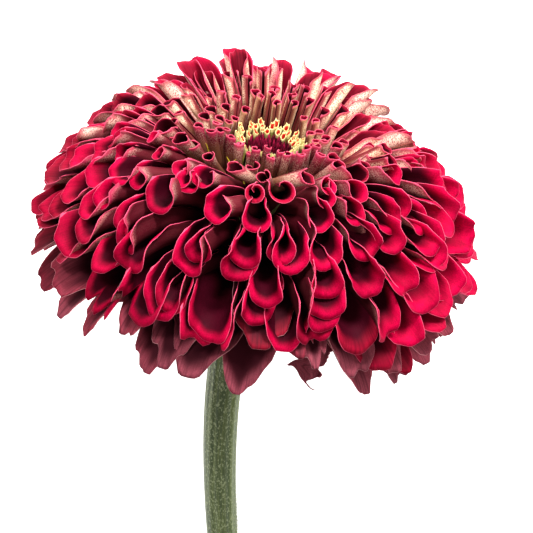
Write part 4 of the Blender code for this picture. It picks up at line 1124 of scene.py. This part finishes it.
# forked yellow stigmas that stand out of the gap in front of the eye
parts = []
for i, (x, near, z, tall) in enumerate(((-7.0, 12.9, 23.0, 3.4), (-3.9, 14.6, 22.6, 3.2), (-3.5, 16.2, 21.0, 3.0), (1.9, 15.6, 20.8, 3.4),
                                         (3.2, 15.4, 20.6, 3.6), (12.2, 12.6, 21.0, 3.0), (13.0, 4.5, 23.0, 3.0), (-12.5, 8.0, 23.5, 2.8))):
    root = np.array((x, -near, z))
    for arm in (-1, 1):
        pts = []
        for t in (0, 0.25, 0.5, 0.75, 1.0):
            spread = arm * 0.62 * t * t * tall * 0.5 + 0.25 * unevenness(61, i) * t
            pts.append(root + np.array((spread, -0.30 * t * t * tall * (0.4 + 0.2 * arm), t * tall * (1.0 - 0.12 * t))))
        v, f = sweep(pts, (0.11, 0.11, 0.10, 0.09, 0.04), 6)
        parts.append((v, f, np.concatenate([np.repeat([0, 0.25, 0.5, 0.75, 1.0], 6), [0, 1.0]])))
raw_object("ray_stigmas", parts, grown_material("stigma", [(0.0, (0.45, 0.42, 0.03)), (0.9, (0.82, 0.70, 0.05))], 0.4), None)

for node, mat in (
        ("receptacle", plain_material("receptacle_skin", (0.20, 0.22, 0.08), (0.30, 0.31, 0.14), 900)),
        ("bracts_upper", plain_material("bract_skin", (0.05, 0.07, 0.025), (0.13, 0.15, 0.06), 600)),
        ("bracts_middle", None), ("bracts_lower", None)):
    mat = mat or bpy.data.materials["bract_skin"]
    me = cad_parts[node].data
    for k in range(len(me.materials)):
        me.materials[k] = mat
    if not len(me.materials):
        me.materials.append(mat)

# --------------------------------------------------------------------------
# floor, light, camera
# --------------------------------------------------------------------------
floor_me = bpy.data.meshes.new("floor")
floor_me.from_pydata([(-3, -3, 0), (3, -3, 0), (3, 3, 0), (-3, 3, 0)], [], [(0, 1, 2, 3)])
floor = bpy.data.objects.new("floor", floor_me)
fm = bpy.data.materials.new("floor_pale")
fm.use_nodes = True
fb = fm.node_tree.nodes["Principled BSDF"]
fb.inputs["Base Color"].default_value = (0.93, 0.93, 0.93, 1)
fb.inputs["Roughness"].default_value = 0.9
fb.inputs["Specular IOR Level"].default_value = 0.1
fb.inputs["Emission Color"].default_value = (1, 1, 1, 1)
fb.inputs["Emission Strength"].default_value = 0.85
floor_me.materials.append(fm)
bpy.context.scene.collection.objects.link(floor)

world = bpy.data.worlds.new("studio")
world.use_nodes = True
wt = world.node_tree
wb = wt.nodes["Background"]
wc = wt.nodes.new("ShaderNodeTexCoord")
wz = wt.nodes.new("ShaderNodeSeparateXYZ")
wr = wt.nodes.new("ShaderNodeMapRange")
wr.interpolation_type = "SMOOTHSTEP"
wt.links.new(wc.outputs["Generated"], wz.inputs[0])
wt.links.new(wz.outputs["Z"], wr.inputs["Value"])
wr.inputs["From Min"].default_value = 0.0
wr.inputs["From Max"].default_value = 0.65
wr.inputs["To Min"].default_value = 0.60
wr.inputs["To Max"].default_value = 0.10
wt.links.new(wr.outputs["Result"], wb.inputs["Color"])
wb.inputs["Strength"].default_value = 1.0
bpy.context.scene.world = world


def area(name, place, aim, size, power, colour=(1, 1, 1)):
    data = bpy.data.lights.new(name, "AREA")
    data.shape = "DISK"
    data.size = size
    data.energy = power
    data.color = colour
    ob = bpy.data.objects.new(name, data)
    ob.location = place
    ob.rotation_euler = (Vector(aim) - Vector(place)).to_track_quat("-Z", "Y").to_euler()
    bpy.context.scene.collection.objects.link(ob)
    return ob


centre = Vector(HEAD_CENTRE) * MM
area("key", (0.38, 1.00, 0.56), centre, 0.36, 17.5)
area("fill", (0.20, 0.02, 0.95), centre, 0.45, 3.0)
area("top", (-0.30, 0.62, 0.80), centre, 0.20, 5.0)

# the camera looks down on the lying flower, a little from the bloom's side
TILT = math.radians(11.9)
SPAN = 120.9                     # width of view at the head, mm
DISTANCE = 450.0
x_axis = Vector((1, 0, 0))
y_axis = Vector((0, math.cos(TILT), -math.sin(TILT)))
z_axis = Vector((0, math.sin(TILT), math.cos(TILT)))
aim = Vector(HEAD_CENTRE) + x_axis * 3.6 - y_axis * 5.56
cam_data = bpy.data.cameras.new("camera")
cam_data.sensor_width = 36.0
cam_data.lens = 36.0 * DISTANCE / SPAN
cam_data.clip_start = 0.01
cam = bpy.data.objects.new("camera", cam_data)
m = Matrix((x_axis, y_axis, z_axis)).transposed().to_4x4()
m.translation = (aim + z_axis * DISTANCE) * MM
cam.matrix_world = m
bpy.context.scene.collection.objects.link(cam)
bpy.context.scene.camera = cam

bpy.context.scene.view_settings.view_transform = "Standard"
bpy.context.scene.view_settings.look = "Medium High Contrast"
